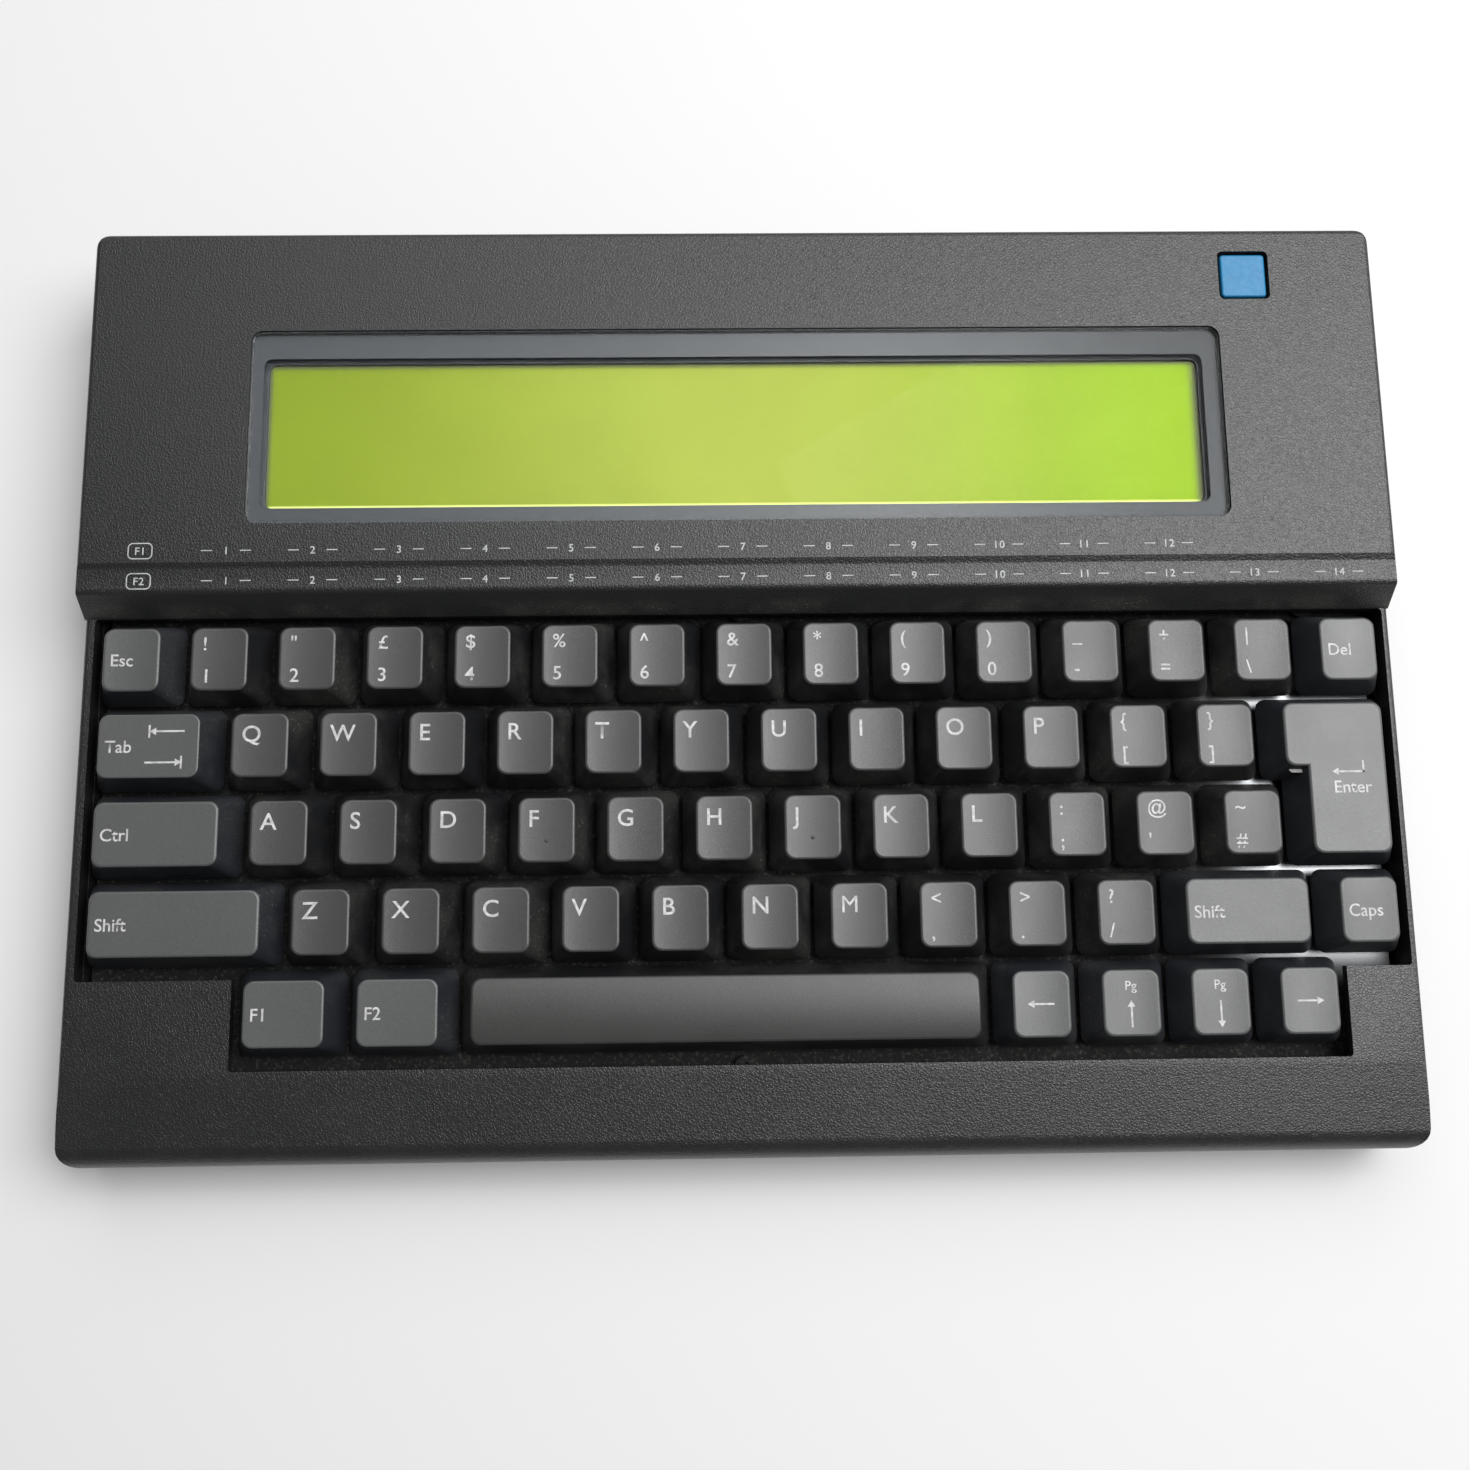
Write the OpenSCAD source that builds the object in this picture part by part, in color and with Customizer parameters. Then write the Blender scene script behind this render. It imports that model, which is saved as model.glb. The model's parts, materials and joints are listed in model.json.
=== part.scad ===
// Portable word processor: a flat two-part case with a raised deck that holds a wide
// display, and a full-stroke keyboard in a well in front of it. Millimetres, +X to the
// right, +Y to the rear, +Z up. The origin is under the middle, on the surface it rests on.

/* [Keyboard] */
// Pitch of the keys, centre to centre
unit = 19.05; // [18.8:0.05:19.6]
// Gap between the skirts of two neighbouring keys
key_gap = 0.85; // [0.7:0.05:1.2]
// Height of a key from the edge of its skirt to its top
key_h = 8; // [7.4:0.1:8.6]
// Width of the top face of a single key
top_w = 12; // [11:0.1:13]
// Depth of the top face of every key
top_d = 13.8; // [13:0.1:14.6]
// Wall of a keycap
cap_wall = 1.1; // [0.9:0.1:1.2]
// Depth of the hollow across the top of a single key
dish = 0.5; // [0.3:0.1:0.7]
// Rise of the rounded top of the space bar
crown = 0.9; // [0.5:0.1:1.3]
// How far a key goes down
travel = 3; // [2.4:0.1:3.2]
// How far the key tops stand above the rim of the case
key_proud = 3.5; // [3:0.1:4]
// How far the keyboard sits right of the middle of the case
key_shift = 0.4; // [0:0.1:0.6]
// Thickness of the steel plate that holds the switches
plate_t = 1; // [0.8:0.1:1.2]
// Side of the square lower body of a key switch
switch_w = 13.6; // [13:0.1:13.8]
// Thickness of the printed circuit boards
board_t = 1.6; // [1.2:0.1:1.8]

/* [Case] */
// Width of the rim beside the key grid
side_rim = 2.125; // [2.1:0.025:5]
// Depth of the raised deck from the rear face to its front lip
deck_depth = 83.5; // [82.5:0.5:100]
// Depth of the slope from the lip down to the keys
slope_depth = 4.7; // [4:0.1:6]
// Space between the slope and the first row of keys
rear_gap = 0.3; // [0.2:0.1:1]
// Space in front of the keys
front_gap = 2.4; // [1.5:0.1:3]
// Depth of the front edge of the case, from the key well to the front face
palm_depth = 19.85; // [18:0.05:30]
// Height of the rim round the keys above the surface that the case stands on
rim_z = 20.5; // [20:0.1:24]
// Height of the deck above the rim
deck_rise = 6.3; // [6:0.1:8]
// Drop of the deck at the line in front of the display
step_drop = 0.7; // [0.4:0.1:1]
// How far the palm rest falls towards the front
palm_drop = 1.8; // [1:0.1:2.2]
// Thickness of the top, bottom, front and rear walls
shell = 2.2; // [1.8:0.1:2.4]
// Thickness of the left and right walls
side_wall = 1.5; // [1.2:0.1:1.6]
// Radius of the four upright corners
corner_r = 4.5; // [3:0.5:8]
// Radius of the rounded front edge
front_r = 5; // [3:0.5:6]
// Height of the line where the two halves of the case meet
split_z = 14; // [13.5:0.1:14.5]
// Width of the seam between the two halves
seam = 0.3; // [0.2:0.05:0.5]

/* [Display] */
// Width of the clear window
window_w = 218; // [216:0.5:224]
// Depth of the clear window
window_d = 44.8; // [44:0.1:46]
// Distance from the rear face to the window
window_from_rear = 23.6; // [22.5:0.1:24.5]
// Thickness of the clear window
window_t = 1.6; // [1.2:0.1:2]
// Width of the ledge that carries the window
ledge_w = 2.1; // [1.5:0.1:2.5]
// Thickness of that ledge
ledge_t = 1.5; // [1.2:0.1:1.8]
// Width of the frame that shows beside the display on each side
side_border = 4; // [3.5:0.5:8]
// Width of the frame that shows in front of the display
front_border = 4.4; // [4:0.1:6]
// Width of the frame that shows behind the display
rear_border = 6.8; // [5:0.1:8]

/* [Controls] */
// Side of the square power button
button_w = 10.2; // [9:0.1:12]
// Gap round the power button
button_gap = 0.7; // [0.4:0.1:1]
// Distance from the right side of the case to the middle of the button
button_from_side = 29.5; // [28:0.5:32]
// Distance from the rear face to the middle of the button
button_from_rear = 11.4; // [11:0.1:12.5]
// How far the power button goes in
button_travel = 1; // [0.6:0.1:1.2]
// Radius of the contrast wheel
wheel_r = 8.5; // [7:0.1:9]
// Thickness of the contrast wheel
wheel_t = 3; // [2.5:0.1:3.4]

/* [Power] */
// Diameter of a battery cell
cell_d = 14.5; // [14:0.1:14.5]
// Length of a battery cell
cell_l = 50.5; // [49:0.1:50.5]

/* [Feet] */
// Height of the rubber feet below the case
foot_h = 1.5; // [1:0.1:2]
// Radius of the rubber feet
foot_r = 6; // [4:0.5:7]

/* [Hidden] */
// The clearance between pieces that only stand beside each other, and in a running fit
clear = 0.3;
run = 0.05;
eps = 0.01;
big = 500;
$fn = 48;

// Key grid
grid_w = 15 * unit;
grid_x = key_shift - grid_w / 2;
body_w = grid_w + 2 * side_rim;
body_d = deck_depth + slope_depth + rear_gap + 5 * unit + front_gap + palm_depth;
right = body_w / 2;
rear = body_d / 2;
lip_y = rear - deck_depth;
foot_y = lip_y - slope_depth;
grid_y = foot_y - rear_gap;
well_y = grid_y - 5 * unit - front_gap;
well_clear = 0.2;
function key_x(u) = grid_x + u * unit;
function row_y(row) = grid_y - (row - 0.5) * unit;

// Heights
deck_z = rim_z + deck_rise;
low_deck_z = deck_z - step_drop;
inside_z = foot_h + shell;
cap_z = rim_z + key_proud - key_h;
plate_z = cap_z - travel - 0.4;
under_plate = 1.6;
key_board_z = plate_z - plate_t - under_plate;
main_board_z = inside_z + 4.2;
step_y = lip_y + 6.4;
step_w = 1.5;
lip_r = 2;
edge_r = 1.2;
base_r = 2;

// A tongue inside the lower half keeps the two halves in line
tongue_t = 0.8;
tongue_h = 1.5;
tongue_gap = 0.15;
inside_x = right - side_wall;
tongue_x = inside_x - tongue_gap - tongue_t;
tongue_y = rear - shell - tongue_gap - tongue_t;

// Display stack, from the deck down
window_y = rear - window_from_rear - window_d / 2;
window_sunk = 0.1;
window_gap = 0.25;
ledge_z = deck_z - window_sunk - window_t;
frame_z = ledge_z - ledge_t;
frame_skin = 0.8;
frame_h = 6;
glass_t = 2.8;
frame_w = window_w + 6;
frame_d = window_d + 2.2;
view_w = window_w - 2 * side_border;
view_d = window_d - front_border - rear_border;
view_y = window_y + (front_border - rear_border) / 2;
view_x = -0.6;

// Places of the controls, screws, feet, posts and cells
button_x = right - button_from_side;
button_y = rear - button_from_rear;
button_sunk = 0.2;
wheel_x = -right + wheel_r + 0.3;
wheel_y = window_y + 3;
wheel_z = main_board_z + 5.5;
shaft_r = 2;
scoop_r = 22;
scoop_depth = 1;
scoop_h = wheel_t + 5;
slot_gap = 0.6;
screw_x = 128;
case_screws = [[-screw_x, rear - 25], [screw_x, rear - 25], [-screw_x, rear - 73], [screw_x, rear - 73],
               [-105, well_y - 9], [0, well_y - 9], [105, well_y - 9]];
screw_r = 1.3;
screw_l = 8;
head_r = 2.8;
head_h = 1.8;
head_z = foot_h + 2.4;
seat_z = head_z + 2;
boss_r = 3.4;
feet = [for (x = [-130, 130], y = [rear - 43, well_y - 9]) [x, y]];
foot_seat = 0.5;
posts = [[-128, foot_y + 2.5], [0, foot_y + 2.5], [128, foot_y + 2.5], [-126, well_y + 11],
         [136, well_y + 11], [0, well_y - 1.2]];
post_r = 2.5;
cell_y = rear - shell - tongue_t - 0.45 - cell_d / 2;
cell_z = inside_z + clear + cell_d / 2;
cell_x = -tongue_x + 1.25;
contact_t = 0.4;
contact_x = cell_x - contact_t - 0.8;
spring_l = 4.6;
cells_end = cell_x + 4 * cell_l;
bay_wall = 1.3;
bay_end = cells_end + spring_l + contact_t;
bay_y = cell_y - cell_d / 2 - clear;
cover_x0 = cell_x + 2;
cover_x1 = bay_end - 2.6;
cover_y = bay_y + 1.8;
cover_gap = 0.25;
lip_out = 1.6;
lip_in = 4;
lip_y0 = rear - 6.2;
lip_y1 = rear - 3.4;
lip_z0 = inside_z + 0.2;
lip_z1 = inside_z + 1.2;

// Rear and side sockets
socket_h = 12.5;
socket_z = main_board_z + board_t + socket_h / 2 - 2.6;
socket_reach = 6;
shell_h = 8;
post_hole_r = 1.2;
// Each: width of the flange, width of the shell and pitch of the two posts
printer_x = right - 40;
printer = [53, 38.3, 47.04];
serial_y = window_y + 4;
serial = [31, 16.9, 24.99];
jack_x = bay_end + bay_wall + 6.4;
jack_w = 9;
jack_z = main_board_z + board_t + 5;

// Stabiliser of the space bar: a bent wire that turns in two ears of the plate
wire_r = 0.6;
bend_r = 0.63;
wire_half = 46;
wire_arm = 11;
wire_tilt = asin(travel / 2 / wire_arm);
ear_x = 36;
space_u = 4.25;
space_w = 6;
space_x = key_x(space_u + space_w / 2);
pivot_y = row_y(5) + 5.7;
pivot_z = plate_z + 0.9 + travel / 2;
pin_y = pivot_y - wire_arm * cos(wire_tilt);
pin_z = pivot_z + travel / 2;
hook_x = 43;
hook_w = 3;

// Every key: name of its node, row from the rear, left edge and width in pitches
LETTERS = [for (line = [["qwertyuiop", 2, 1.5], ["asdfghjkl", 3, 1.75], ["zxcvbnm", 4, 2.25]])
           for (i = [0:len(line[0]) - 1]) [str("key_", line[0][i]), line[1], line[2] + i, 1]];
DIGITS = [for (i = [1:10]) ["digit_keys", 1, i, 1]];
SYMBOLS = [for (s = [[1, 11], [1, 12], [1, 13], [2, 11.5], [2, 12.5], [3, 10.75], [3, 11.75],
                     [3, 12.75], [4, 9.25], [4, 10.25], [4, 11.25]]) ["symbol_keys", s[0], s[1], 1]];
ARROWS = [for (i = [0:3]) ["arrow_keys", 5, 10.25 + i, 1]];
CONTROLS = [["escape_key", 1, 0, 1], ["backspace_key", 1, 14, 1], ["tab_key", 2, 0, 1.5],
            ["control_key", 3, 0, 1.75], ["left_shift_key", 4, 0, 2.25],
            ["right_shift_key", 4, 12.25, 1.75], ["caps_lock_key", 4, 14, 1],
            ["f1_key", 5, 1.75, 1.25], ["f2_key", 5, 3, 1.25]];
SPACE = [["space_bar", 5, space_u, space_w]];

// Ends of the short front row
short_x0 = key_x(CONTROLS[7][2]);
short_x1 = key_x(ARROWS[3][2] + 1);

ALL_KEYS = concat(LETTERS, DIGITS, SYMBOLS, ARROWS, CONTROLS, SPACE);

// The tall key at the right of rows 2 and 3 has one switch between the rows
enter_u0 = 13.5;
enter_notch = 0.25;
enter_w = 1.5;
enter_x = key_x(enter_u0 + enter_notch + (enter_w - enter_notch) / 2);
enter_y = row_y(2.5);
SWITCHES = concat([for (k = ALL_KEYS) [key_x(k[2] + k[3] / 2), row_y(k[1])]], [[enter_x, enter_y]]);

// Outlines whose corners are arcs: each point is [x, y, radius]
function toward(v) = v / norm(v);
function arc(a, b, c, r, steps) =
    let (u = toward(a - b), v = toward(c - b), half = acos(u * v) / 2,
         mid = b + toward(u + v) * r / sin(half),
         p = b + u * r / tan(half) - mid, q = b + v * r / tan(half) - mid,
         start = atan2(p.y, p.x), turn = (atan2(q.y, q.x) - start + 540) % 360 - 180)
    [for (i = [0:steps]) mid + r * [cos(start + turn * i / steps), sin(start + turn * i / steps)]];
function rounded(pts, steps = 6) =
    [for (i = [0:len(pts) - 1])
        let (n = len(pts), b = pts[i], a = pts[(i + n - 1) % n], c = pts[(i + 1) % n])
        each (b[2] == 0 ? [[b.x, b.y]] : arc([a.x, a.y], [b.x, b.y], [c.x, c.y], b[2], steps))];
function frame_pts(x0, y0, x1, y1, r) = [[x0, y0, r], [x1, y0, r], [x1, y1, r], [x0, y1, r]];

module rect(x0, y0, x1, y1, r = 0, steps = 6) {
    polygon(rounded(frame_pts(x0, y0, x1, y1, r), steps));
}

module slab(x0, y0, x1, y1, z0, z1, r = 0) {
    translate([0, 0, z0]) linear_extrude(z1 - z0) rect(x0, y0, x1, y1, r);
}

module centred(x, y, w, d, z0, z1, r = 0) {
    slab(x - w / 2, y - d / 2, x + w / 2, y + d / 2, z0, z1, r);
}

module rod(x, y, r, z0, z1) {
    translate([x, y, z0]) cylinder(r = r, h = z1 - z0);
}

// A side view [y, z] pulled across the whole width, and a front view [x, z] pulled back
module across(pts, half) {
    translate([-half, 0, 0]) rotate([90, 0, 90]) linear_extrude(2 * half) polygon(pts);
}

module along(pts, y0, y1) {
    translate([0, y1, 0]) rotate([90, 0, 0]) linear_extrude(y1 - y0) polygon(pts);
}

// Case: one outer form and one inner form, cut apart at the seam
palm_z = rim_z - palm_drop;
crease_y = well_y - 1.4;
outer_side = rounded([[rear, foot_h, base_r], [rear, deck_z, 1.5], [step_y, deck_z, 0],
                      [step_y - step_w, low_deck_z, 0], [lip_y, low_deck_z, lip_r],
                      [foot_y, rim_z, 0], [crease_y, rim_z, 0], [-rear, palm_z, front_r],
                      [-rear, foot_h, base_r]], 8);

// The inner face of the slope, one wall thickness behind the outer one
slope_rise = low_deck_z - rim_z;
slope_back = shell * norm([slope_depth, slope_rise]) / slope_rise;
slope_in = slope_back - shell * slope_depth / slope_rise;
inner_side = [[rear - shell, inside_z], [rear - shell, deck_z - shell],
              [step_y, deck_z - shell], [step_y - step_w, low_deck_z - shell],
              [lip_y + slope_in, low_deck_z - shell], [foot_y + slope_in, rim_z - shell],
              [crease_y, rim_z - shell], [shell - rear, palm_z - shell - 0.2],
              [shell - rear, inside_z]];

module outer_form() {
    intersection() {
        slab(-right, -rear, right, rear, 0, big, corner_r);
        across(outer_side, big);
        union() {
            along(rounded([[-right, foot_h, base_r], [right, foot_h, base_r],
                           [right, deck_z, edge_r], [-right, deck_z, edge_r]]), foot_y, rear + 1);
            along(rounded([[-right, foot_h, base_r], [right, foot_h, base_r],
                           [right, rim_z, edge_r], [-right, rim_z, edge_r]]), -rear - 1, foot_y + eps);
        }
    }
}

module inner_form() {
    intersection() {
        slab(-inside_x, shell - rear, inside_x, rear - shell, inside_z, big, corner_r - side_wall);
        across(inner_side, inside_x);
    }
}

// The well follows the keyboard: four full rows, then the shorter front row
module well() {
    z0 = split_z;
    slab(grid_x - well_clear, grid_y - 4 * unit - front_gap, grid_x + grid_w + well_clear, foot_y,
         z0, rim_z + 1, 0.8);
    slab(short_x0 - well_clear, well_y, short_x1 + well_clear, grid_y - 3 * unit,
         z0, rim_z + 1, 0.8);
}

// One socket's outline through the wall, seen from outside, and its two screw posts
module socket_hole(w) {
    translate([-w / 2 - 0.4, -10, -socket_h / 2 - 0.4]) cube([w + 0.8, 20, socket_h + 0.8]);
}

module at_printer() {
    translate([printer_x, rear, socket_z]) children();
}

module at_serial() {
    translate([right, serial_y, socket_z]) rotate([0, 0, -90]) children();
}

module wall_holes() {
    at_printer() socket_hole(printer[0]);
    at_serial() socket_hole(serial[0]);
    translate([jack_x, rear + 1, jack_z]) rotate([90, 0, 0]) cylinder(r = 4, h = shell + 4);
    centred(-right, wheel_y, 6, 2 * sqrt(pow(wheel_r, 2) - pow(wheel_r - side_wall - clear, 2)) + 2,
            wheel_z - slot_gap, wheel_z + wheel_t + slot_gap);
    translate([scoop_depth - right - scoop_r, wheel_y, wheel_z + (wheel_t - scoop_h) / 2])
        cylinder(r = scoop_r, h = scoop_h, $fn = 96);
}

module upper_case() {
    color([0.25, 0.26, 0.26]) difference() {
        union() {
            difference() {
                intersection() {
                    outer_form();
                    slab(-big, -big, big, big, split_z + seam, big);
                }
                inner_form();
                well();
            }
            intersection() {
                inner_form();
                union() {
                    window_rib();
                    for (s = case_screws) rod(s.x, s.y, boss_r, seat_z, deck_z - 0.5);
                    button_guide();
                }
            }
        }
        centred(0, window_y, window_w, window_d, ledge_z, big, 2.6);
        centred(0, window_y, window_w - 2 * ledge_w, window_d - 2 * ledge_w, split_z, big, 1.5);
        centred(button_x, button_y, button_w + 2 * button_gap, button_w + 2 * button_gap,
                deck_z - 3.4, big, 1.2);
        centred(button_x, button_y, 6, 6, split_z + 1, big);
        for (s = case_screws) rod(s.x, s.y, screw_r + run, seat_z - 1, seat_z + 9);
        wall_holes();
    }
}

// Thicker strip of the deck round the window, which gives the ledge its height
module window_rib() {
    centred(0, window_y, frame_w, frame_d, frame_z, deck_z - 1);
}

// Box under the button, with two legs that the switch board hangs on
module button_guide() {
    side = button_w + 2 * button_gap + 2.4;
    leg_x = side / 2 + 2.4;
    centred(button_x, button_y, side, side, deck_z - 4.6, deck_z - 1);
    for (s = [-1, 1]) rod(button_x + s * leg_x, button_y, 1.6, switch_z + board_t, deck_z - 1);
}

module lower_case() {
    color([0.23, 0.24, 0.24]) difference() {
        union() {
            difference() {
                intersection() {
                    outer_form();
                    slab(-big, -big, big, big, 0, split_z);
                }
                inner_form();
            }
            tongue();
            intersection() {
                slab(-inside_x, shell - rear, inside_x, rear - shell, 0, big, corner_r - side_wall);
                union() {
                    for (s = case_screws) rod(s.x, s.y, boss_r + 1.2, inside_z - 1, seat_z);
                    for (p = posts) rod(p.x, p.y, post_r, inside_z - 1, plate_z - plate_t);
                    for (p = board_posts) rod(p.x, p.y, 2.4, inside_z - 1, main_board_z);
                    bay_walls();
                }
            }
        }
        for (s = case_screws) {
            rod(s.x, s.y, head_r + 0.3, 0, head_z);
            rod(s.x, s.y, screw_r + 0.3, 0, big);
        }
        for (p = posts) rod(p.x, p.y, screw_r + run, plate_z - screw_l - clear, big);
        for (f = feet) rod(f.x, f.y, foot_r + 0.2, 0, foot_h + foot_seat);
        cover_opening();
        wall_holes();
    }
}

// Its lower part joins the wall, and it leaves the sides of the keyboard free
module tongue() {
    root = 0.1;
    difference() {
        union() {
            slab(-inside_x + tongue_gap, shell + tongue_gap - rear, inside_x - tongue_gap,
                 rear - shell - tongue_gap, split_z - 2, split_z + tongue_h, corner_r - side_wall);
            slab(-inside_x - root, shell - root - rear, inside_x + root, rear - shell + root,
                 split_z - 2, split_z, corner_r - side_wall);
        }
        slab(-tongue_x, -tongue_y, tongue_x, tongue_y, split_z - 3, big,
             corner_r - side_wall - tongue_t);
        slab(-inside_x, well_y - 2, inside_x, foot_y + 2, split_z - 3, big);
    }
}

module bay_walls() {
    top = cell_z + 3;
    slab(-inside_x, bay_y - bay_wall, bay_end + bay_wall, bay_y, inside_z - 1, top);
    slab(bay_end, bay_y - bay_wall, bay_end + bay_wall, rear, inside_z - 1, top);
    slab(-inside_x, cell_y - 4, contact_x, cell_y + 4, inside_z - 1, top);
}

// Each end of the cover has a lip that lies on the floor of the case
module cover_lips(gap, y1) {
    for (x = [cover_x0 - lip_out, cover_x1 - lip_in])
        slab(x - gap, lip_y0, x + lip_out + lip_in + gap, y1, lip_z0 - 2 * gap, lip_z1 + gap);
}

// Two flat tongues on its front edge go into grooves in the edge of the floor
module cover_tongues(gap) {
    for (x = [cover_x0 + 40, cover_x1 - 40])
        slab(x - 15 - gap, cover_y - 1.2 - gap, x + 15 + gap, cover_y + 1,
             foot_h + 0.8 - gap / 2, foot_h + 1.4 + gap / 2);
}

// Opening for the cover, and the slots its lips pass through in the rear wall
module cover_opening() {
    slab(cover_x0 - cover_gap, cover_y - cover_gap, cover_x1 + cover_gap, rear + 1, 0, inside_z + eps);
    cover_lips(cover_gap, rear + 1);
    cover_tongues(cover_gap);
}

// Flat cover that slides off to the rear, with grip lines across its underside
module battery_cover() {
    color([0.23, 0.24, 0.24]) difference() {
        union() {
            intersection() {
                outer_form();
                slab(cover_x0, cover_y, cover_x1, rear + 1, 0, inside_z);
            }
            cover_lips(0, lip_y1);
            for (x = [cover_x0, cover_x1 - lip_in])
                slab(x, lip_y0, x + lip_in, lip_y1, inside_z - 1, lip_z0 + eps);
            cover_tongues(0);
        }
        for (i = [0:3])
            slab(cell_x + 12, rear - 6.2 - i * 2, cell_x + 32, rear - 5.2 - i * 2, 0, foot_h + 0.5);
    }
}

// One screw with its head at the bottom and the underside of the head at height 0
module screw() {
    difference() {
        union() {
            translate([0, 0, -eps]) cylinder(r = screw_r, h = screw_l);
            translate([0, 0, -head_h]) cylinder(r = head_r, h = head_h);
        }
        for (a = [0, 90]) translate([0, 0, -head_h]) rotate([0, 0, a]) cube([3, 0.7, 1.6], center = true);
    }
}

// Seven screws come up through the bottom, six go down through the key plate into its posts
module screws() {
    color([0.55, 0.56, 0.58]) {
        for (s = case_screws) translate([s.x, s.y, head_z]) screw();
        for (p = posts) translate([p.x, p.y, plate_z]) mirror([0, 0, 1]) screw();
    }
}

module rubber_feet() {
    color([0.08, 0.08, 0.08]) for (f = feet) {
        rod(f.x, f.y, foot_r, 0, foot_h + foot_seat);
    }
}

module display_window() {
    color([0.7, 0.75, 0.8, 0.35]) centred(0, window_y, window_w - 2 * window_gap,
        window_d - 2 * window_gap, ledge_z, ledge_z + window_t, 2.4);
}

// Bent metal frame: a top with the viewing opening, four sides and the tabs under the board
module display_frame() {
    z0 = frame_z - frame_h;
    color([0.36, 0.38, 0.41]) difference() {
        centred(0, window_y, frame_w, frame_d, z0, frame_z, 1);
        centred(0, window_y, frame_w - 2 * frame_skin, frame_d - 2 * frame_skin, z0 - 1,
                frame_z - frame_skin);
        centred(view_x, view_y, view_w, view_d, z0, big, 1.6);
    }
}

module display_glass() {
    z1 = frame_z - frame_skin;
    color([0.68, 0.82, 0.28]) union() {
        centred(0, window_y, frame_w - 2 * frame_skin - 2, frame_d - 2 * frame_skin - 1,
                z1 - glass_t, z1 - 1);
        centred(view_x, view_y, view_w + 4, view_d + 3, z1 - 1.1, z1);
    }
}

module display_board() {
    z1 = frame_z - frame_skin - glass_t;
    color([0.10, 0.35, 0.20]) union() {
        centred(0, window_y, frame_w - 2 * frame_skin - 0.4, frame_d - 2 * frame_skin - 0.4,
                z1 - board_t, z1);
        for (i = [-3:3]) centred(i * 30, window_y + 9, 14, 10, z1 - board_t - 1.8, z1 - board_t);
        centred(-70, window_y - 15, 30, 5, z1 - board_t - 2.4, z1 - board_t);
    }
}

// Main board: behind the keyboard, with an arm beside the cells that carries the sockets
board_front = foot_y + 7.4;
board_side = tongue_x - 1.2;
board_posts = [[-112, board_front + 4], [0, board_front + 4], [112, board_front + 4],
               [-90, bay_y - 6], [0, bay_y - 6], [bay_end + 9, bay_y - 6]];
module main_board() {
    z1 = main_board_z + board_t;
    arm_y = rear - shell - tongue_t - 1.2;
    color([0.12, 0.38, 0.22]) difference() {
        union() {
            slab(-board_side, board_front, board_side, bay_y - bay_wall - 1, main_board_z, z1);
            slab(bay_end + bay_wall + 1, board_front, board_side, arm_y, main_board_z, z1);
            rod(wheel_x, wheel_y, 6, z1 - eps, wheel_z - 0.5);
            rod(wheel_x, wheel_y, shaft_r, z1, wheel_z + wheel_t + 1);
            for (c = [[-60, 30], [-20, 30], [30, 30]])
                centred(c[0], board_front + c[1], 20, 14, z1 - eps, z1 + 2.4);
            for (i = [0:3]) centred(-90 + i * 16, board_front + 14, 9, 6, z1 - eps, z1 + 2);
            for (i = [0:2]) rod(70 + i * 14, board_front + 24, 3.2, z1 - eps, z1 + 6);
            centred(-30, board_front + 5, 36, 4.4, z1 - eps, z1 + 4);
        }
        for (s = case_screws) rod(s.x, s.y, boss_r + 1, 0, big);
        at_serial() socket_notch(serial[0]);
        at_printer() socket_notch(printer[0]);
    }
}

// The board stops short of a socket's flange
module socket_notch(w) {
    translate([-w / 2 - 0.5, -socket_reach - 1.5, -20]) cube([w + 1, 20, 40]);
}

// Steel plate screwed to the posts, with a square hole for each switch, ears for the wire, and
// its front and rear edges bent down
plate_front = 5;
plate_behind = 6.4;
edge_drop = 2;
module key_plate() {
    y0 = well_y - plate_front;
    y1 = foot_y + plate_behind;
    color([0.62, 0.63, 0.64]) difference() {
        union() {
            slab(-tongue_x + clear, y0, tongue_x - clear, y1, plate_z - plate_t, plate_z, 2);
            for (y = [y0, y1 - plate_t])
                slab(-tongue_x + 6, y, tongue_x - 6, y + plate_t, plate_z - plate_t - edge_drop,
                     plate_z - eps);
            for (s = [-1, 1]) centred(space_x + s * ear_x, pivot_y, 1.6, 2.4, plate_z - eps,
                                      pivot_z + 1.3);
        }
        for (k = SWITCHES) centred(k.x, k.y, switch_w + 0.4, switch_w + 0.4, 0, plate_z + eps);
        for (p = posts) rod(p.x, p.y, screw_r + 0.3, 0, big);
        for (s = [-1, 1]) centred(space_x + s * hook_x, pin_y + 0.6, hook_w + 4.6, 5.4, 0, plate_z + eps);
        translate([space_x - big / 2, pivot_y, pivot_z]) rotate([0, 90, 0])
            cylinder(r = wire_r + run, h = big);
    }
}

module key_board() {
    y0 = well_y + front_gap + 0.6;
    color([0.62, 0.50, 0.26]) union() {
        slab(-tongue_x + 2, grid_y - 4 * unit + 1, tongue_x - 2, foot_y - 0.6, key_board_z - board_t,
             key_board_z);
        slab(short_x0, y0, short_x1, grid_y - 4 * unit + 2, key_board_z - board_t, key_board_z);
        centred(-30, foot_y - 4, 34, 5, key_board_z - board_t - 3, key_board_z - board_t + eps);
    }
}

// Key switches: a lower body through the plate, a flange on it and a guide for the stem
stem_w = 5;
stem_d = 2.4;
housing_h = 4;
module housing(x, y) {
    difference() {
        union() {
            centred(x, y, switch_w, switch_w, key_board_z, plate_z + eps);
            centred(x, y, switch_w + 1, switch_w + 1, plate_z, plate_z + 0.8);
            centred(x, y, switch_w - 2.6, switch_w - 4, plate_z + 0.8 - eps, plate_z + housing_h);
        }
        centred(x, y, stem_w + 2 * clear, stem_d + 2 * clear, key_board_z + 0.6, big);
    }
}

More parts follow.
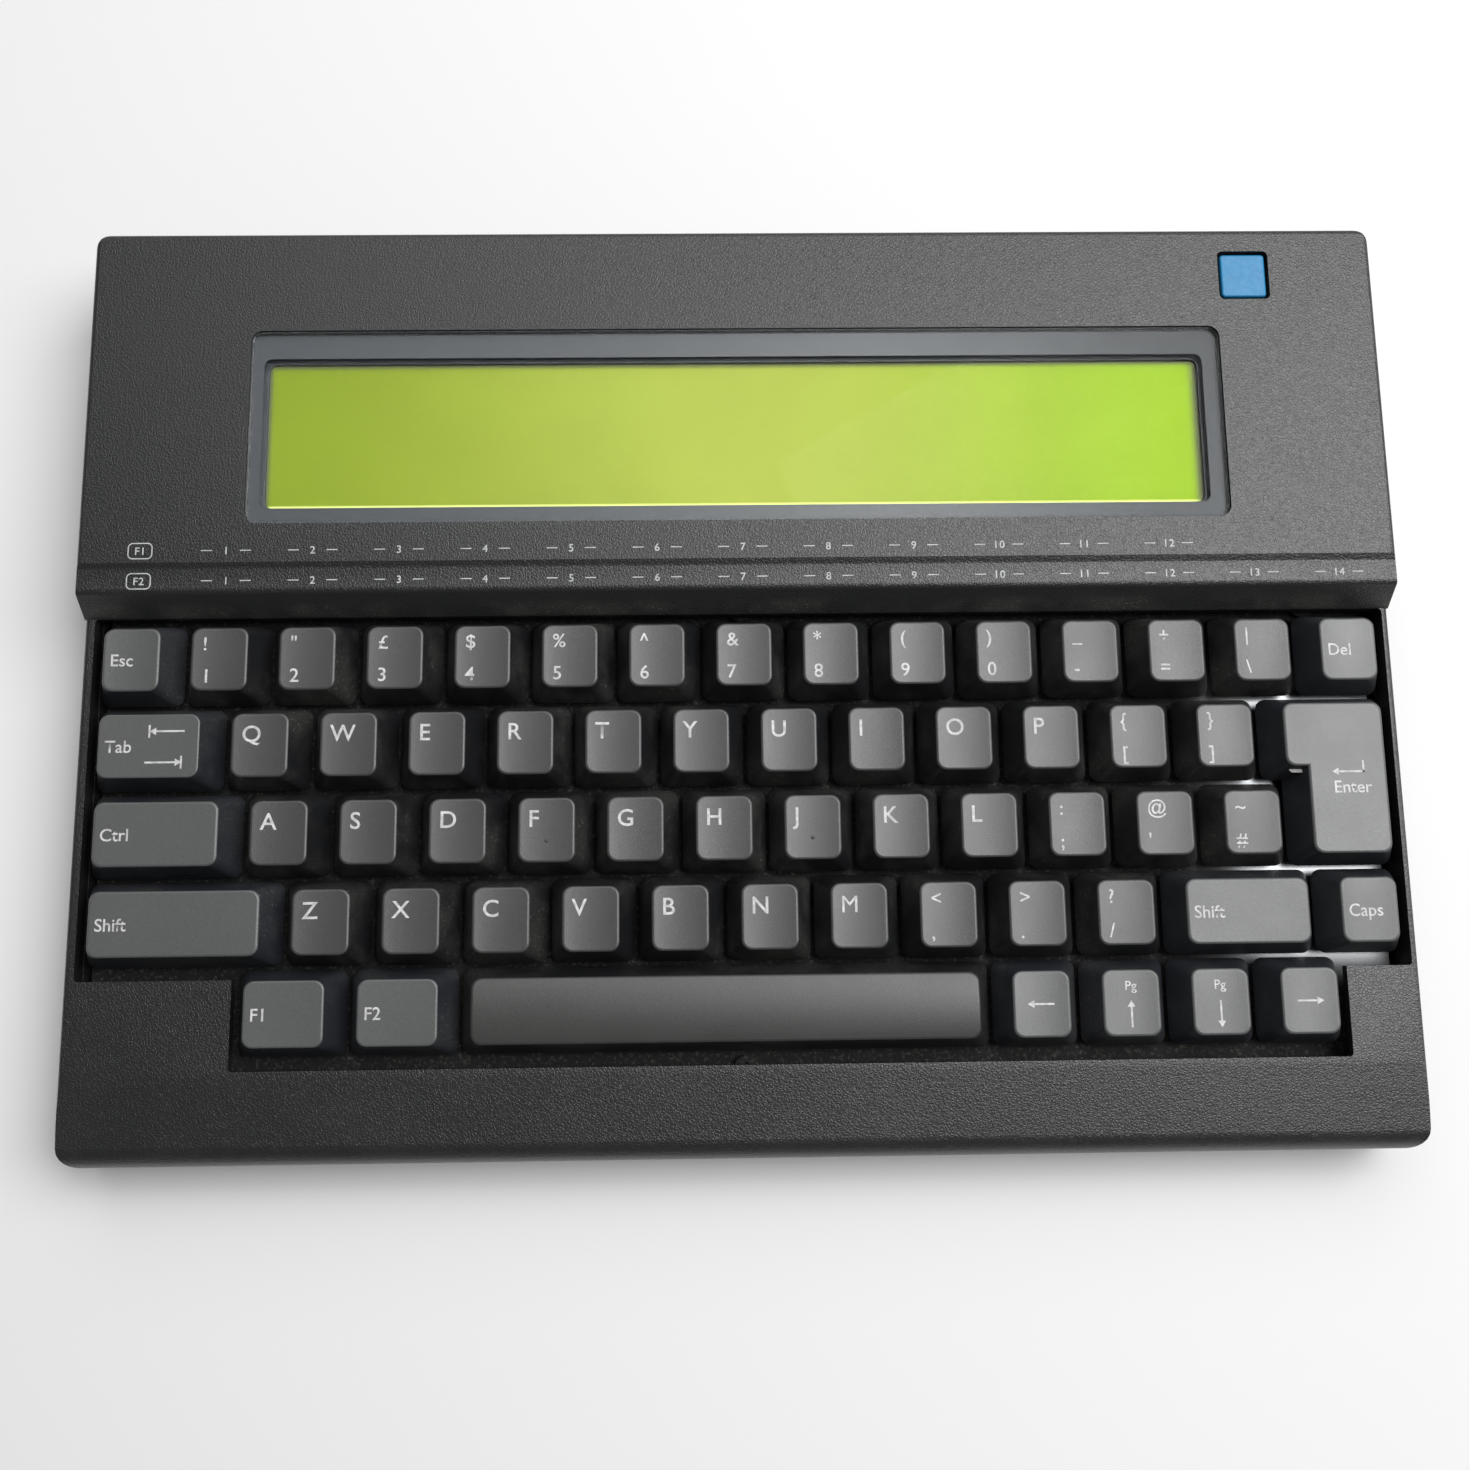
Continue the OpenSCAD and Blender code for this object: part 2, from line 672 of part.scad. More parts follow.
module switch_housings() {
    color([0.10, 0.10, 0.11]) for (k = SWITCHES) housing(k.x, k.y);
}

// Keycaps: a tapered hollow shell with a hollowed top and a stem that fits the switch
side_in = (unit - key_gap - top_w) / 2;
front_in = (unit - key_gap - top_d) / 2;
cap_r = 2.2;

// Solid between an outline at height 0 and one with as many points at height h
module taper(low, high, h) {
    n = len(low);
    polyhedron([for (p = low) [p.x, p.y, 0], for (p = high) [p.x, p.y, h]],
               [[for (i = [0:n - 1]) i], [for (i = [n - 1:-1:0]) n + i],
                for (i = [0:n - 1]) [i, n + i, n + (i + 1) % n, (i + 1) % n]]);
}

// Outline of a cap at height z, w by d pitches at its skirt
function cap_outline(w, d, inset, z) =
    let (x = (w * unit - key_gap) / 2 - inset - side_in * z / key_h,
         y = (d * unit - key_gap) / 2 - inset - front_in * z / key_h)
    rounded(frame_pts(-x, -y, x, y, max(cap_r - inset, 0.6)), 4);

module cap_form(w, d, inset, h) {
    taper(cap_outline(w, d, inset, 0), cap_outline(w, d, inset, h), h);
}

module cap_stem() {
    low = key_board_z + 1 + travel - cap_z;
    centred(0, 0, stem_w, stem_d, low, key_h - 1);
    centred(0, 0, stem_w + 3, stem_d + 3, key_h - 3.2, key_h - 1);
}

// The hollow is a round trough that runs front to back and reaches the two sides of the top
module cap_dish(w, depth) {
    tw = w * unit - key_gap - 2 * side_in;
    r = (tw * tw / 4 + depth * depth) / (2 * depth);
    translate([0, 0, key_h + r - depth]) rotate([90, 0, 0])
        cylinder(r = r, h = 2 * unit, center = true, $fn = ceil(4 * r));
}

module cap_hollow(w, d) {
    translate([0, 0, -eps]) cap_form(w, d, cap_wall, key_h - 1.7);
}

module keycap(w, depth) {
    difference() {
        union() {
            difference() {
                cap_form(w, 1, 0, key_h);
                cap_hollow(w, 1);
            }
            cap_stem();
        }
        cap_dish(w, depth);
    }
}

module place_key(k) {
    translate([key_x(k[2] + k[3] / 2), row_y(k[1]), cap_z]) children();
}

// Single keys have the full hollow, wider ones a shallower one
module plain_key(k) {
    place_key(k) keycap(k[3], k[3] == 1 ? dish : dish * 0.6);
}

module dark_key(k) {
    color([0.28, 0.28, 0.28]) plain_key(k);
}

module grey_key(k) {
    color([0.42, 0.42, 0.42]) plain_key(k);
}

// Outline of the tall key, whose rear half is wider: the origin is the middle of its narrow part
function enter_outline(inset, z) =
    let (x = ((enter_w - enter_notch) * unit - key_gap) / 2 - inset - side_in * z / key_h,
         y = (2 * unit - key_gap) / 2 - inset - front_in * z / key_h,
         wide = -x - enter_notch * unit, step = key_gap / 2 + inset + front_in * z / key_h,
         r = max(cap_r - inset, 0.6))
    rounded([[-x, -y, r], [x, -y, r], [x, y, r], [wide, y, r], [wide, step, r], [-x, step, 0.3]], 4);

module enter_form(inset, h) {
    taper(enter_outline(inset, 0), enter_outline(inset, h), h);
}

module enter_key() {
    color([0.42, 0.42, 0.42]) translate([enter_x, enter_y, cap_z]) difference() {
        union() {
            difference() {
                enter_form(0, key_h);
                translate([0, 0, -eps]) enter_form(cap_wall, key_h - 1.7);
            }
            cap_stem();
        }
        cap_dish(enter_w - enter_notch, dish * 0.6);
    }
}

// The space bar has a rounded top, and two hooks inside that the wire's ends turn in
module space_bar() {
    r = (top_d * top_d / 4 + crown * crown) / (2 * crown);
    color([0.20, 0.20, 0.21]) place_key(SPACE[0]) difference() {
        union() {
            difference() {
                intersection() {
                    cap_form(space_w, 1, 0, key_h);
                    translate([0, 0, key_h - r]) rotate([0, 90, 0])
                        cylinder(r = r, h = space_w * unit, center = true, $fn = 180);
                }
                cap_hollow(space_w, 1);
            }
            cap_stem();
            for (s = [-1, 1]) centred(s * hook_x, pin_y - row_y(5), hook_w, 3.4,
                                      pin_z - cap_z - wire_r - 0.7, key_h - 1.6);
        }
        for (s = [-1, 1]) centred(s * hook_x, pin_y - row_y(5), hook_w + 1, 2 * wire_r + 0.5,
                                  pin_z - cap_z - wire_r - 0.15, pin_z - cap_z + wire_r + 0.15);
    }
}

module wire_run(a, b) {
    v = b - a;
    translate(a) rotate([0, acos(v.z / norm(v)), atan2(v.y, v.x)]) cylinder(r = wire_r, h = norm(v));
}

module space_bar_wire() {
    color([0.70, 0.71, 0.72]) union() {
        wire_run([space_x - wire_half, pivot_y, pivot_z], [space_x + wire_half, pivot_y, pivot_z]);
        for (s = [-1, 1]) {
            x = space_x + s * wire_half;
            wire_run([x, pivot_y, pivot_z], [x, pin_y, pin_z]);
            wire_run([x, pin_y, pin_z], [x - s * (wire_half - hook_x + hook_w / 2 + 0.5), pin_y, pin_z]);
            translate([x, pivot_y, pivot_z]) sphere(r = bend_r);
            translate([x, pin_y, pin_z]) sphere(r = bend_r);
        }
    }
}

// Power button over a small switch on its own board, which hangs on two legs of the case
button_top = deck_z - button_sunk;
button_foot = button_top - 4;
switch_z = deck_z - 9.2;
plunger_r = 1.5;
module power_button() {
    color([0.30, 0.62, 0.86]) union() {
        centred(button_x, button_y, button_w, button_w, button_top - 1.9, button_top, 0.8);
        centred(button_x, button_y, 5.4, 5.4, button_foot, button_top - 1.8);
        rod(button_x, button_y, plunger_r, switch_z + board_t + clear + button_travel,
            button_foot + eps);
    }
}

module power_switch() {
    z1 = switch_z + board_t;
    color([0.15, 0.15, 0.16]) difference() {
        union() {
            centred(button_x, button_y, 24, 8.6, switch_z, z1);
            centred(button_x, button_y, 7, 7, z1 - eps, button_foot - button_travel - clear);
        }
        rod(button_x, button_y, plunger_r + clear, z1, big);
    }
}

// Thumb wheel with a notched rim on the shaft of its control
module contrast_wheel() {
    teeth = 40;
    color([0.12, 0.12, 0.13]) difference() {
        translate([wheel_x, wheel_y, wheel_z]) linear_extrude(wheel_t)
            polygon([for (i = [0:2 * teeth - 1]) (wheel_r - (i % 2) * 0.35)
                     * [cos(i * 180 / teeth), sin(i * 180 / teeth)]]);
        rod(wheel_x, wheel_y, shaft_r + run, 0, big);
    }
}

module battery_cells() {
    color([0.75, 0.62, 0.28]) for (i = [0:3])
        translate([cell_x + i * cell_l, cell_y, cell_z]) rotate([0, 90, 0]) {
            cylinder(r = cell_d / 2, h = cell_l - 1.6);
            cylinder(r = 2.7, h = cell_l - 0.1);
        }
}

// A plate with a raised nub at one end, a plate with a tapering spring at the other
module battery_contacts() {
    color([0.72, 0.73, 0.74]) {
        slab(contact_x, cell_y - 5, contact_x + contact_t, cell_y + 5, inside_z + clear, cell_z + 5);
        translate([contact_x + contact_t - eps, cell_y, cell_z]) rotate([0, 90, 0])
            cylinder(r1 = 3, r2 = 2, h = 0.7);
        slab(bay_end - contact_t, cell_y - 5, bay_end, cell_y + 5, inside_z + clear, cell_z + 5);
        translate([cells_end + 0.1, cell_y, cell_z]) rotate([0, 90, 0]) rotate_extrude()
            polygon([[0, 0], [2, 0], for (i = [0:3]) each [[3 + i * 0.6, 0.5 + i], [2.5 + i * 0.6, 1 + i]],
                     [4.2, spring_l - 0.1], [0, spring_l - 0.1]]);
    }
}

// Sockets on the main board: a flat metal flange, a shell shaped like a D and two posts
module dee(w, h) {
    r = 1.4;
    polygon(rounded([[-w / 2 + 1, -h / 2, r], [w / 2 - 1, -h / 2, r], [w / 2, h / 2, r],
                     [-w / 2, h / 2, r]]));
}

module socket(size) {
    w = size[0];
    pitch = size[2];
    difference() {
        union() {
            translate([-w / 2, -socket_reach - 0.8, -socket_h / 2]) cube([w, 0.8, socket_h]);
            translate([0, -0.5, 0]) rotate([90, 0, 0]) linear_extrude(socket_reach) dee(size[1], shell_h);
            translate([-pitch / 2 + 3, -socket_reach - 10, main_board_z + board_t - socket_z])
                cube([pitch - 6, 9.4, socket_h - 5]);
            for (s = [-1, 1]) translate([s * pitch / 2, -socket_reach, 0]) rotate([-90, 0, 0])
                cylinder(r = 2.6, h = socket_reach - 1);
        }
        for (s = [-1, 1]) translate([s * pitch / 2, -socket_reach + 0.6, 0]) rotate([-90, 0, 0])
            cylinder(r = post_hole_r, h = socket_reach);
    }
}

module sockets() {
    z1 = main_board_z + board_t;
    color([0.60, 0.61, 0.63]) {
        at_printer() socket(printer);
        at_serial() socket(serial);
        difference() {
            union() {
                slab(jack_x - jack_w / 2, rear - shell - 13, jack_x + jack_w / 2, rear - shell - 1.2,
                     z1, jack_z + 5);
                translate([jack_x, rear - 0.8, jack_z]) rotate([90, 0, 0]) cylinder(r = 3.6, h = 6);
            }
            translate([jack_x, rear, jack_z]) rotate([90, 0, 0]) difference() {
                cylinder(r = 2.85, h = 10);
                cylinder(r = 1, h = 10);
            }
        }
    }
}

upper_case();
lower_case();
battery_cover();
screws();
rubber_feet();
display_window();
display_frame();
display_glass();
display_board();
main_board();
key_plate();
key_board();
switch_housings();
space_bar_wire();
power_button();
power_switch();
contrast_wheel();
battery_cells();
battery_contacts();
sockets();
enter_key();
space_bar();
for (k = concat(DIGITS, SYMBOLS, LETTERS)) dark_key(k);
for (k = concat(ARROWS, CONTROLS)) grey_key(k);
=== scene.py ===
# %% [markdown]
# A portable word processor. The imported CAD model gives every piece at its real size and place.
# This script dresses it: finely modelled shells and keycaps, printed marks, and the finishes of
# moulded plastic, steel and the display. All lengths are in metres, +X right, +Y to the rear.

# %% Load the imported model
import json
import math
import bmesh
import bpy
from mathutils import Euler, Matrix, Vector


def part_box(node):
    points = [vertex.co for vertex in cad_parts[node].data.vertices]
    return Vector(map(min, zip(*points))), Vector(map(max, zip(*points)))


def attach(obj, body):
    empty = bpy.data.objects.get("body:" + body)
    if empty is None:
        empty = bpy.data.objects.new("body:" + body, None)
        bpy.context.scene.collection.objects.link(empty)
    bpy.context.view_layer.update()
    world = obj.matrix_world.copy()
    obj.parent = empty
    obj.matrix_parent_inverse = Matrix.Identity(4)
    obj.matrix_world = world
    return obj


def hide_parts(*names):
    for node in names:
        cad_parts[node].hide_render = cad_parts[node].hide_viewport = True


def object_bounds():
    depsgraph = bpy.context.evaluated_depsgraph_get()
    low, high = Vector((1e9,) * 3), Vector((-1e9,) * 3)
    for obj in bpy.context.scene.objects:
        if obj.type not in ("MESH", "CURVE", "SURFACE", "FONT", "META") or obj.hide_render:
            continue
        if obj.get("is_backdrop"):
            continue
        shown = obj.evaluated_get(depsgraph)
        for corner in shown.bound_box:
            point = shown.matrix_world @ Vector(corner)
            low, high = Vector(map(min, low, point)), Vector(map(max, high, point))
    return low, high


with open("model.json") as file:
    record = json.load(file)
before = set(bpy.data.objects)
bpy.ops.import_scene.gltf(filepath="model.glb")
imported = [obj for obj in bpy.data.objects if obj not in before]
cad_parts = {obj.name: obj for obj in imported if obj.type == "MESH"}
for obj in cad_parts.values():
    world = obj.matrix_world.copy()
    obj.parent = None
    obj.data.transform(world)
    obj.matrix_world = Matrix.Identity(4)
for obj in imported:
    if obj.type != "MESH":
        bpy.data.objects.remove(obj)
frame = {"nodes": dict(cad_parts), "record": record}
cad_box = [list(corner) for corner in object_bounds()]
MM = 0.001

# %% [markdown]
# The photograph looks almost straight down, from a little in front of the middle, with a short
# lens. The lens follows from the way the case widens towards the camera: a focal length of
# 0.963 picture widths, which is 34.65 mm on a 36 mm sensor.

# %% Camera at the photograph's angle
camera = bpy.data.objects.new("camera", bpy.data.cameras.new("camera"))
bpy.context.collection.objects.link(camera)
camera.data.sensor_width = 36
camera.data.lens = 34.65
camera.data.clip_start = 0.01
camera.location = Vector((-6.9, -62.0, 326.9)) * MM
camera.rotation_euler = Euler([math.radians(a) for a in (9.195, -0.845, -0.734)])
bpy.context.scene.camera = camera

# %% [markdown]
# A big pale floor. The light comes from a window at the right and a paler wall behind the desk:
# the right part of the deck shines, and faces that look straight up or to the front stay dark.

# %% Floor, lamps and world
def link(obj):
    bpy.context.collection.objects.link(obj)
    return obj


def area_lamp(name, place, size, power):
    lamp = link(bpy.data.objects.new(name, bpy.data.lights.new(name, "AREA")))
    lamp.data.size = size
    lamp.data.energy = power
    lamp.location = place
    lamp.rotation_euler = (-Vector(place)).to_track_quat("-Z", "Y").to_euler()


floor_mesh = bmesh.new()
bmesh.ops.create_grid(floor_mesh, x_segments=1, y_segments=1, size=3)
floor_data = bpy.data.meshes.new("floor")
floor_mesh.to_mesh(floor_data)
floor_mesh.free()
floor = link(bpy.data.objects.new("floor", floor_data))
floor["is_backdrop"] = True
area_lamp("window_light", (0.62, 0.22, 1.10), 0.95, 15)
area_lamp("rear_light", (-0.05, 0.85, 1.00), 1.1, 5.1)
world = bpy.data.worlds.new("studio")
world.use_nodes = True
world.node_tree.nodes["Background"].inputs["Color"].default_value = (1, 1, 1, 1)
world.node_tree.nodes["Background"].inputs["Strength"].default_value = 0.14
bpy.context.scene.world = world
bpy.context.scene.view_settings.view_transform = "Standard"

# %% [markdown]
# Finishes are built from a few shader groups. Each group reads Object coordinates, so a pattern
# stays on its piece, and puts out masks and heights that the materials mix as they need. First
# come small helpers that add and join nodes.

# %% Helpers for node trees
def add(tree, kind, values=(), **settings):
    node = tree.nodes.new(kind)
    for name, value in settings.items():
        setattr(node, name, value)
    for name, value in dict(values).items():
        node.inputs[name].default_value = value
    return node


def join(tree, source, target):
    tree.links.new(source, target)


def maths(tree, operation, a, b=None, clamp=False):
    node = add(tree, "ShaderNodeMath", operation=operation, use_clamp=clamp)
    for socket, value in zip(node.inputs, (a, b)):
        if isinstance(value, bpy.types.NodeSocket):
            join(tree, value, socket)
        elif value is not None:
            socket.default_value = value
    return node.outputs[0]


def remap(tree, value, low, high, to_low=0.0, to_high=1.0):
    node = add(tree, "ShaderNodeMapRange", interpolation_type="SMOOTHSTEP")
    join(tree, value, node.inputs["Value"])
    for name, number in zip(("From Min", "From Max", "To Min", "To Max"), (low, high, to_low, to_high)):
        node.inputs[name].default_value = number
    return node.outputs["Result"]


def group(name, inputs, outputs):
    tree = bpy.data.node_groups.new(name, "ShaderNodeTree")
    for label, value in inputs.items():
        socket = tree.interface.new_socket(label, in_out="INPUT", socket_type="NodeSocketFloat")
        socket.default_value = value
    for label in outputs:
        tree.interface.new_socket(label, in_out="OUTPUT", socket_type="NodeSocketFloat")
    return tree, tree.nodes.new("NodeGroupInput").outputs, tree.nodes.new("NodeGroupOutput").inputs


def noise(tree, scale, detail=2.0, roughness=0.5):
    place = add(tree, "ShaderNodeTexCoord")
    node = add(tree, "ShaderNodeTexNoise", {"Detail": detail, "Roughness": roughness})
    join(tree, place.outputs["Object"], node.inputs["Vector"])
    if isinstance(scale, bpy.types.NodeSocket):
        join(tree, scale, node.inputs["Scale"])
    else:
        node.inputs["Scale"].default_value = scale
    return node.outputs["Fac"]


# %% [markdown]
# The case has a fine moulded grain, like thin leather: small flat islands with narrow valleys.
# A Voronoi cell pattern gives the islands, and noise breaks up their edges. Keycaps have the
# same grain at half the size.

# %% Group: moulded grain
grain_defaults = {"Cells per metre": 1100.0, "Valleys": 0.5}
grain_group, given, out = group("moulded_grain", grain_defaults, ["Height", "Shade"])
place = add(grain_group, "ShaderNodeTexCoord")
warp = add(grain_group, "ShaderNodeTexNoise", {"Scale": 900.0, "Detail": 2.0})
join(grain_group, place.outputs["Object"], warp.inputs["Vector"])
shift = add(grain_group, "ShaderNodeVectorMath", operation="SCALE")
join(grain_group, warp.outputs["Color"], shift.inputs[0])
shift.inputs["Scale"].default_value = 0.0008
moved = add(grain_group, "ShaderNodeVectorMath", operation="ADD")
join(grain_group, place.outputs["Object"], moved.inputs[0])
join(grain_group, shift.outputs[0], moved.inputs[1])
cells = add(grain_group, "ShaderNodeTexVoronoi", feature="DISTANCE_TO_EDGE")
join(grain_group, moved.outputs[0], cells.inputs["Vector"])
join(grain_group, given["Cells per metre"], cells.inputs["Scale"])
islands = remap(grain_group, cells.outputs["Distance"], 0.0, 0.28)
fine = noise(grain_group, maths(grain_group, "MULTIPLY", given["Cells per metre"], 2.5), 3.0, 0.6)
height = maths(grain_group, "ADD", maths(grain_group, "MULTIPLY", islands, given["Valleys"]),
               maths(grain_group, "MULTIPLY", fine, 0.6))
join(grain_group, height, out["Height"])
join(grain_group, maths(grain_group, "SUBTRACT", height, 0.5), out["Shade"])
print(grain_group.name, len(grain_group.nodes), "nodes")

# %% [markdown]
# Dust and lint settle where nobody wipes: down in the key well, at the foot of the slope behind
# it and on the sloping sides of the keys. The group puts out specks within cloudy patches.

# %% Group: dust
dust_group, given, out = group("dust", {"Amount": 0.5, "Specks per metre": 900.0}, ["Mask"])
specks = noise(dust_group, given["Specks per metre"], 4.0, 0.75)
patches = noise(dust_group, 60.0, 3.0, 0.6)
speck_mask = remap(dust_group, specks, 0.56, 0.72)
patch_mask = remap(dust_group, patches, 0.40, 0.66)
film = maths(dust_group, "MULTIPLY", patch_mask, 0.16)
both = maths(dust_group, "ADD", maths(dust_group, "MULTIPLY", speck_mask, patch_mask), film)
join(dust_group, maths(dust_group, "MULTIPLY", both, given["Amount"], clamp=True), out["Mask"])
print(dust_group.name, len(dust_group.nodes), "nodes")

# %% [markdown]
# A material starts as a Principled shader with its own plain numbers set on the sockets. What
# changes over the surface is mixed in front of it: a second colour by a mask, and a bump.

# %% Helpers for materials
def linear(r, g, b):
    """The shader's colour for three screen values from 11 to 255."""
    return tuple(((c / 255 + 0.055) / 1.055) ** 2.4 for c in (r, g, b)) + (1.0,)


def material(name, color, roughness=0.5, metallic=0.0, specular=0.5):
    mat = bpy.data.materials.new(name)
    mat.use_nodes = True
    shader = mat.node_tree.nodes["Principled BSDF"]
    shader.inputs["Base Color"].default_value = color
    shader.inputs["Roughness"].default_value = roughness
    shader.inputs["Metallic"].default_value = metallic
    shader.inputs["Specular IOR Level"].default_value = specular
    return mat, mat.node_tree, shader


def use_group(tree, source, **values):
    node = add(tree, "ShaderNodeGroup", node_tree=source)
    for name, value in values.items():
        node.inputs[name.replace("_", " ")].default_value = value
    return node.outputs


def mix_color(tree, mask, a, b, blend="MIX"):
    node = add(tree, "ShaderNodeMix", data_type="RGBA", blend_type=blend)
    for socket, value in ((node.inputs[0], mask), (node.inputs[6], a), (node.inputs[7], b)):
        if isinstance(value, bpy.types.NodeSocket):
            join(tree, value, socket)
        else:
            socket.default_value = value
    return node.outputs[2]


def bump(tree, shader, height, distance, strength=1.0):
    node = add(tree, "ShaderNodeBump", {"Distance": distance, "Strength": strength})
    join(tree, height, node.inputs["Height"])
    join(tree, node.outputs["Normal"], shader.inputs["Normal"])


PAPER = (0.93, 0.93, 0.93, 1)
floor_mat, tree, shader = material("floor_paper", PAPER, 0.9, specular=0.1)
paper_tone = mix_color(tree, noise(tree, 3.0, 2.0), PAPER, (0.95, 0.95, 0.95, 1))
join(tree, paper_tone, shader.inputs["Base Color"])
floor.data.materials.append(floor_mat)

# %% [markdown]
# The case plastic is a charcoal with the grain in its bump, a little lighter where the grain
# stands up, and dusty low down in the key well. The narrow faces that the Bevel modifier of a
# shell makes get a second, paler finish.

# %% Material: case plastic
def low_place(tree):
    """Dust by height: none on the deck, and most at the foot of the slope behind the keys."""
    place = add(tree, "ShaderNodeTexCoord")
    split = add(tree, "ShaderNodeSeparateXYZ")
    join(tree, place.outputs["Object"], split.inputs[0])
    everywhere_low = remap(tree, split.outputs["Z"], 25.6 * MM, 24.0 * MM)
    above_rim = remap(tree, split.outputs["Z"], 20.6 * MM, 21.1 * MM)
    below_lip = remap(tree, split.outputs["Z"], 24.2 * MM, 22.4 * MM)
    slope_foot = maths(tree, "MULTIPLY", above_rim, below_lip)
    return maths(tree, "ADD", everywhere_low, maths(tree, "MULTIPLY", slope_foot, 5.0))


def case_plastic(name, color, dust_amount, roughness=0.38):
    mat, tree, shader = material(name, color, roughness, specular=0.86)
    grain = use_group(tree, grain_group, Cells_per_metre=1500.0, Valleys=0.5)
    dust = use_group(tree, dust_group, Amount=dust_amount, Specks_per_metre=1600.0)
    clouds = remap(tree, noise(tree, 25.0, 3.0), 0.3, 0.7, 0.96, 1.04)
    shade = maths(tree, "ADD", maths(tree, "MULTIPLY", grain["Shade"], 0.25), 1.0)
    lit = maths(tree, "MULTIPLY", shade, clouds)
    tone = mix_color(tree, 1.0, color, lit, "MULTIPLY")
    settled = maths(tree, "MULTIPLY", dust["Mask"], low_place(tree), clamp=True)
    dusty = mix_color(tree, settled, tone, linear(120, 117, 110))
    join(tree, dusty, shader.inputs["Base Color"])
    rough = maths(tree, "ADD", maths(tree, "MULTIPLY", grain["Shade"], -0.08), roughness)
    join(tree, rough, shader.inputs["Roughness"])
    bump(tree, shader, grain["Height"], 0.00008, 0.9)
    return mat


case_mat = case_plastic("case_plastic", linear(27, 28, 28), 0.12)
case_edge_mat = case_plastic("case_edges", linear(56, 57, 57), 0.0, 0.38)
base_mat = case_plastic("base_plastic", linear(40, 41, 41), 0.0)
base_edge_mat = case_plastic("base_edges", linear(58, 59, 59), 0.0, 0.40)

# %% [markdown]
# Keycaps are moulded in two greys, and the space bar in a third. Fingers have worn them satin.
# The way a point faces says whether it gets the top colour or the darker skirt colour, which is
# painted shade on the steep sides; dust settles on the skirt too.

# %% Material: keycaps
def key_plastic(name, top, skirt_shade, dust_amount, gloss=0.38):
    mat, tree, shader = material(name, top, gloss, specular=0.92)
    grain = use_group(tree, grain_group, Cells_per_metre=3200.0, Valleys=0.4)
    dust = use_group(tree, dust_group, Amount=dust_amount, Specks_per_metre=1500.0)
    facing = add(tree, "ShaderNodeTexCoord")
    split = add(tree, "ShaderNodeSeparateXYZ")
    join(tree, facing.outputs["Normal"], split.inputs[0])
    upward = remap(tree, split.outputs["Z"], 0.5, 0.8)
    # Painted shade: the steep skirt is painted darker than the top.
    tone = mix_color(tree, upward, skirt_shade, top)
    lit = maths(tree, "ADD", maths(tree, "MULTIPLY", grain["Shade"], 0.5), 1.0)
    speckled = mix_color(tree, 1.0, tone, lit, "MULTIPLY")
    below = maths(tree, "SUBTRACT", 1.0, upward, clamp=True)
    settled = maths(tree, "MULTIPLY", dust["Mask"], below)
    join(tree, mix_color(tree, settled, speckled, linear(150, 147, 140)), shader.inputs["Base Color"])
    rough = maths(tree, "ADD", maths(tree, "MULTIPLY", noise(tree, 70.0, 2.0), 0.16), gloss - 0.06)
    join(tree, rough, shader.inputs["Roughness"])
    bump(tree, shader, grain["Height"], 0.00003, 0.7)
    return mat


# The second colour of each key finish is the skirt's painted shade.
dark_key_mat = key_plastic("dark_key", linear(70, 71, 70), linear(25, 26, 28), 0.55)
grey_key_mat = key_plastic("grey_key", linear(90, 91, 91), linear(38, 41, 47), 0.35)
space_key_mat = key_plastic("space_key", linear(58, 58, 57), linear(25, 26, 28), 0.4)

# %% [markdown]
# All prints are white ink, worn in blotches. The deck's marks are a little greyer than the keys'.

# %% Material: printed ink
def ink(name, color, blotches, worn, fresh):
    mat, tree, shader = material(name, color, 0.55, specular=0.3)
    wear = remap(tree, noise(tree, blotches, 2.0), 0.3, 0.7)
    join(tree, mix_color(tree, wear, worn, fresh), shader.inputs["Base Color"])
    return mat


ink_mat = ink("printed_ink", linear(214, 215, 214), 900.0, linear(190, 191, 190), linear(226, 227, 226))
label_mat = ink("label_ink", linear(205, 207, 207), 700.0, linear(186, 188, 188), linear(216, 218, 218))
print([mat.name for mat in bpy.data.materials])

# %% [markdown]
# Hard shells come from the CAD solids, which are already exact, but their edges are razor sharp
# and a real moulding's never are. A copy of the mesh is merged, its flat triangles are joined
# into whole faces, and a Bevel modifier rounds what is left sharp.

# %% Helper: a bevelled copy of a CAD node
SMOOTH_BELOW = math.radians(28)
BEVEL_ABOVE = math.radians(32)


def refined(node, mat, edge, segments=3, edge_mat=None):
    bm = bmesh.new()
    bm.from_mesh(frame["nodes"][node].data)
    bmesh.ops.remove_doubles(bm, verts=bm.verts, dist=2e-6)
    bmesh.ops.dissolve_limit(bm, angle_limit=math.radians(0.4), verts=bm.verts, edges=bm.edges,
                             use_dissolve_boundaries=False, delimit={"NORMAL"})
    return finish_piece(bm, node + "_shell", mat, node, edge, segments, edge_mat)


def finish_piece(bm, name, mat, node, edge=0, segments=3, edge_mat=None):
    mesh = bpy.data.meshes.new(name)
    bm.to_mesh(mesh)
    bm.free()
    mesh.polygons.foreach_set("use_smooth", [True] * len(mesh.polygons))
    mesh.set_sharp_from_angle(angle=SMOOTH_BELOW)
    mesh.materials.append(mat)
    piece = link(bpy.data.objects.new(name, mesh))
    if edge:
        bevel = piece.modifiers.new("rounded edges", "BEVEL")
        bevel.width = edge
        bevel.segments = segments
        bevel.limit_method = "ANGLE"
        bevel.angle_limit = BEVEL_ABOVE
        bevel.use_clamp_overlap = True
        if edge_mat:
            mesh.materials.append(edge_mat)
            bevel.material = 1
    even = piece.modifiers.new("even shading", "WEIGHTED_NORMAL")
    even.mode = "FACE_AREA"
    even.weight = 90
    even.keep_sharp = True
    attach(piece, body_of[node])
    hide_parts(node)
    return piece


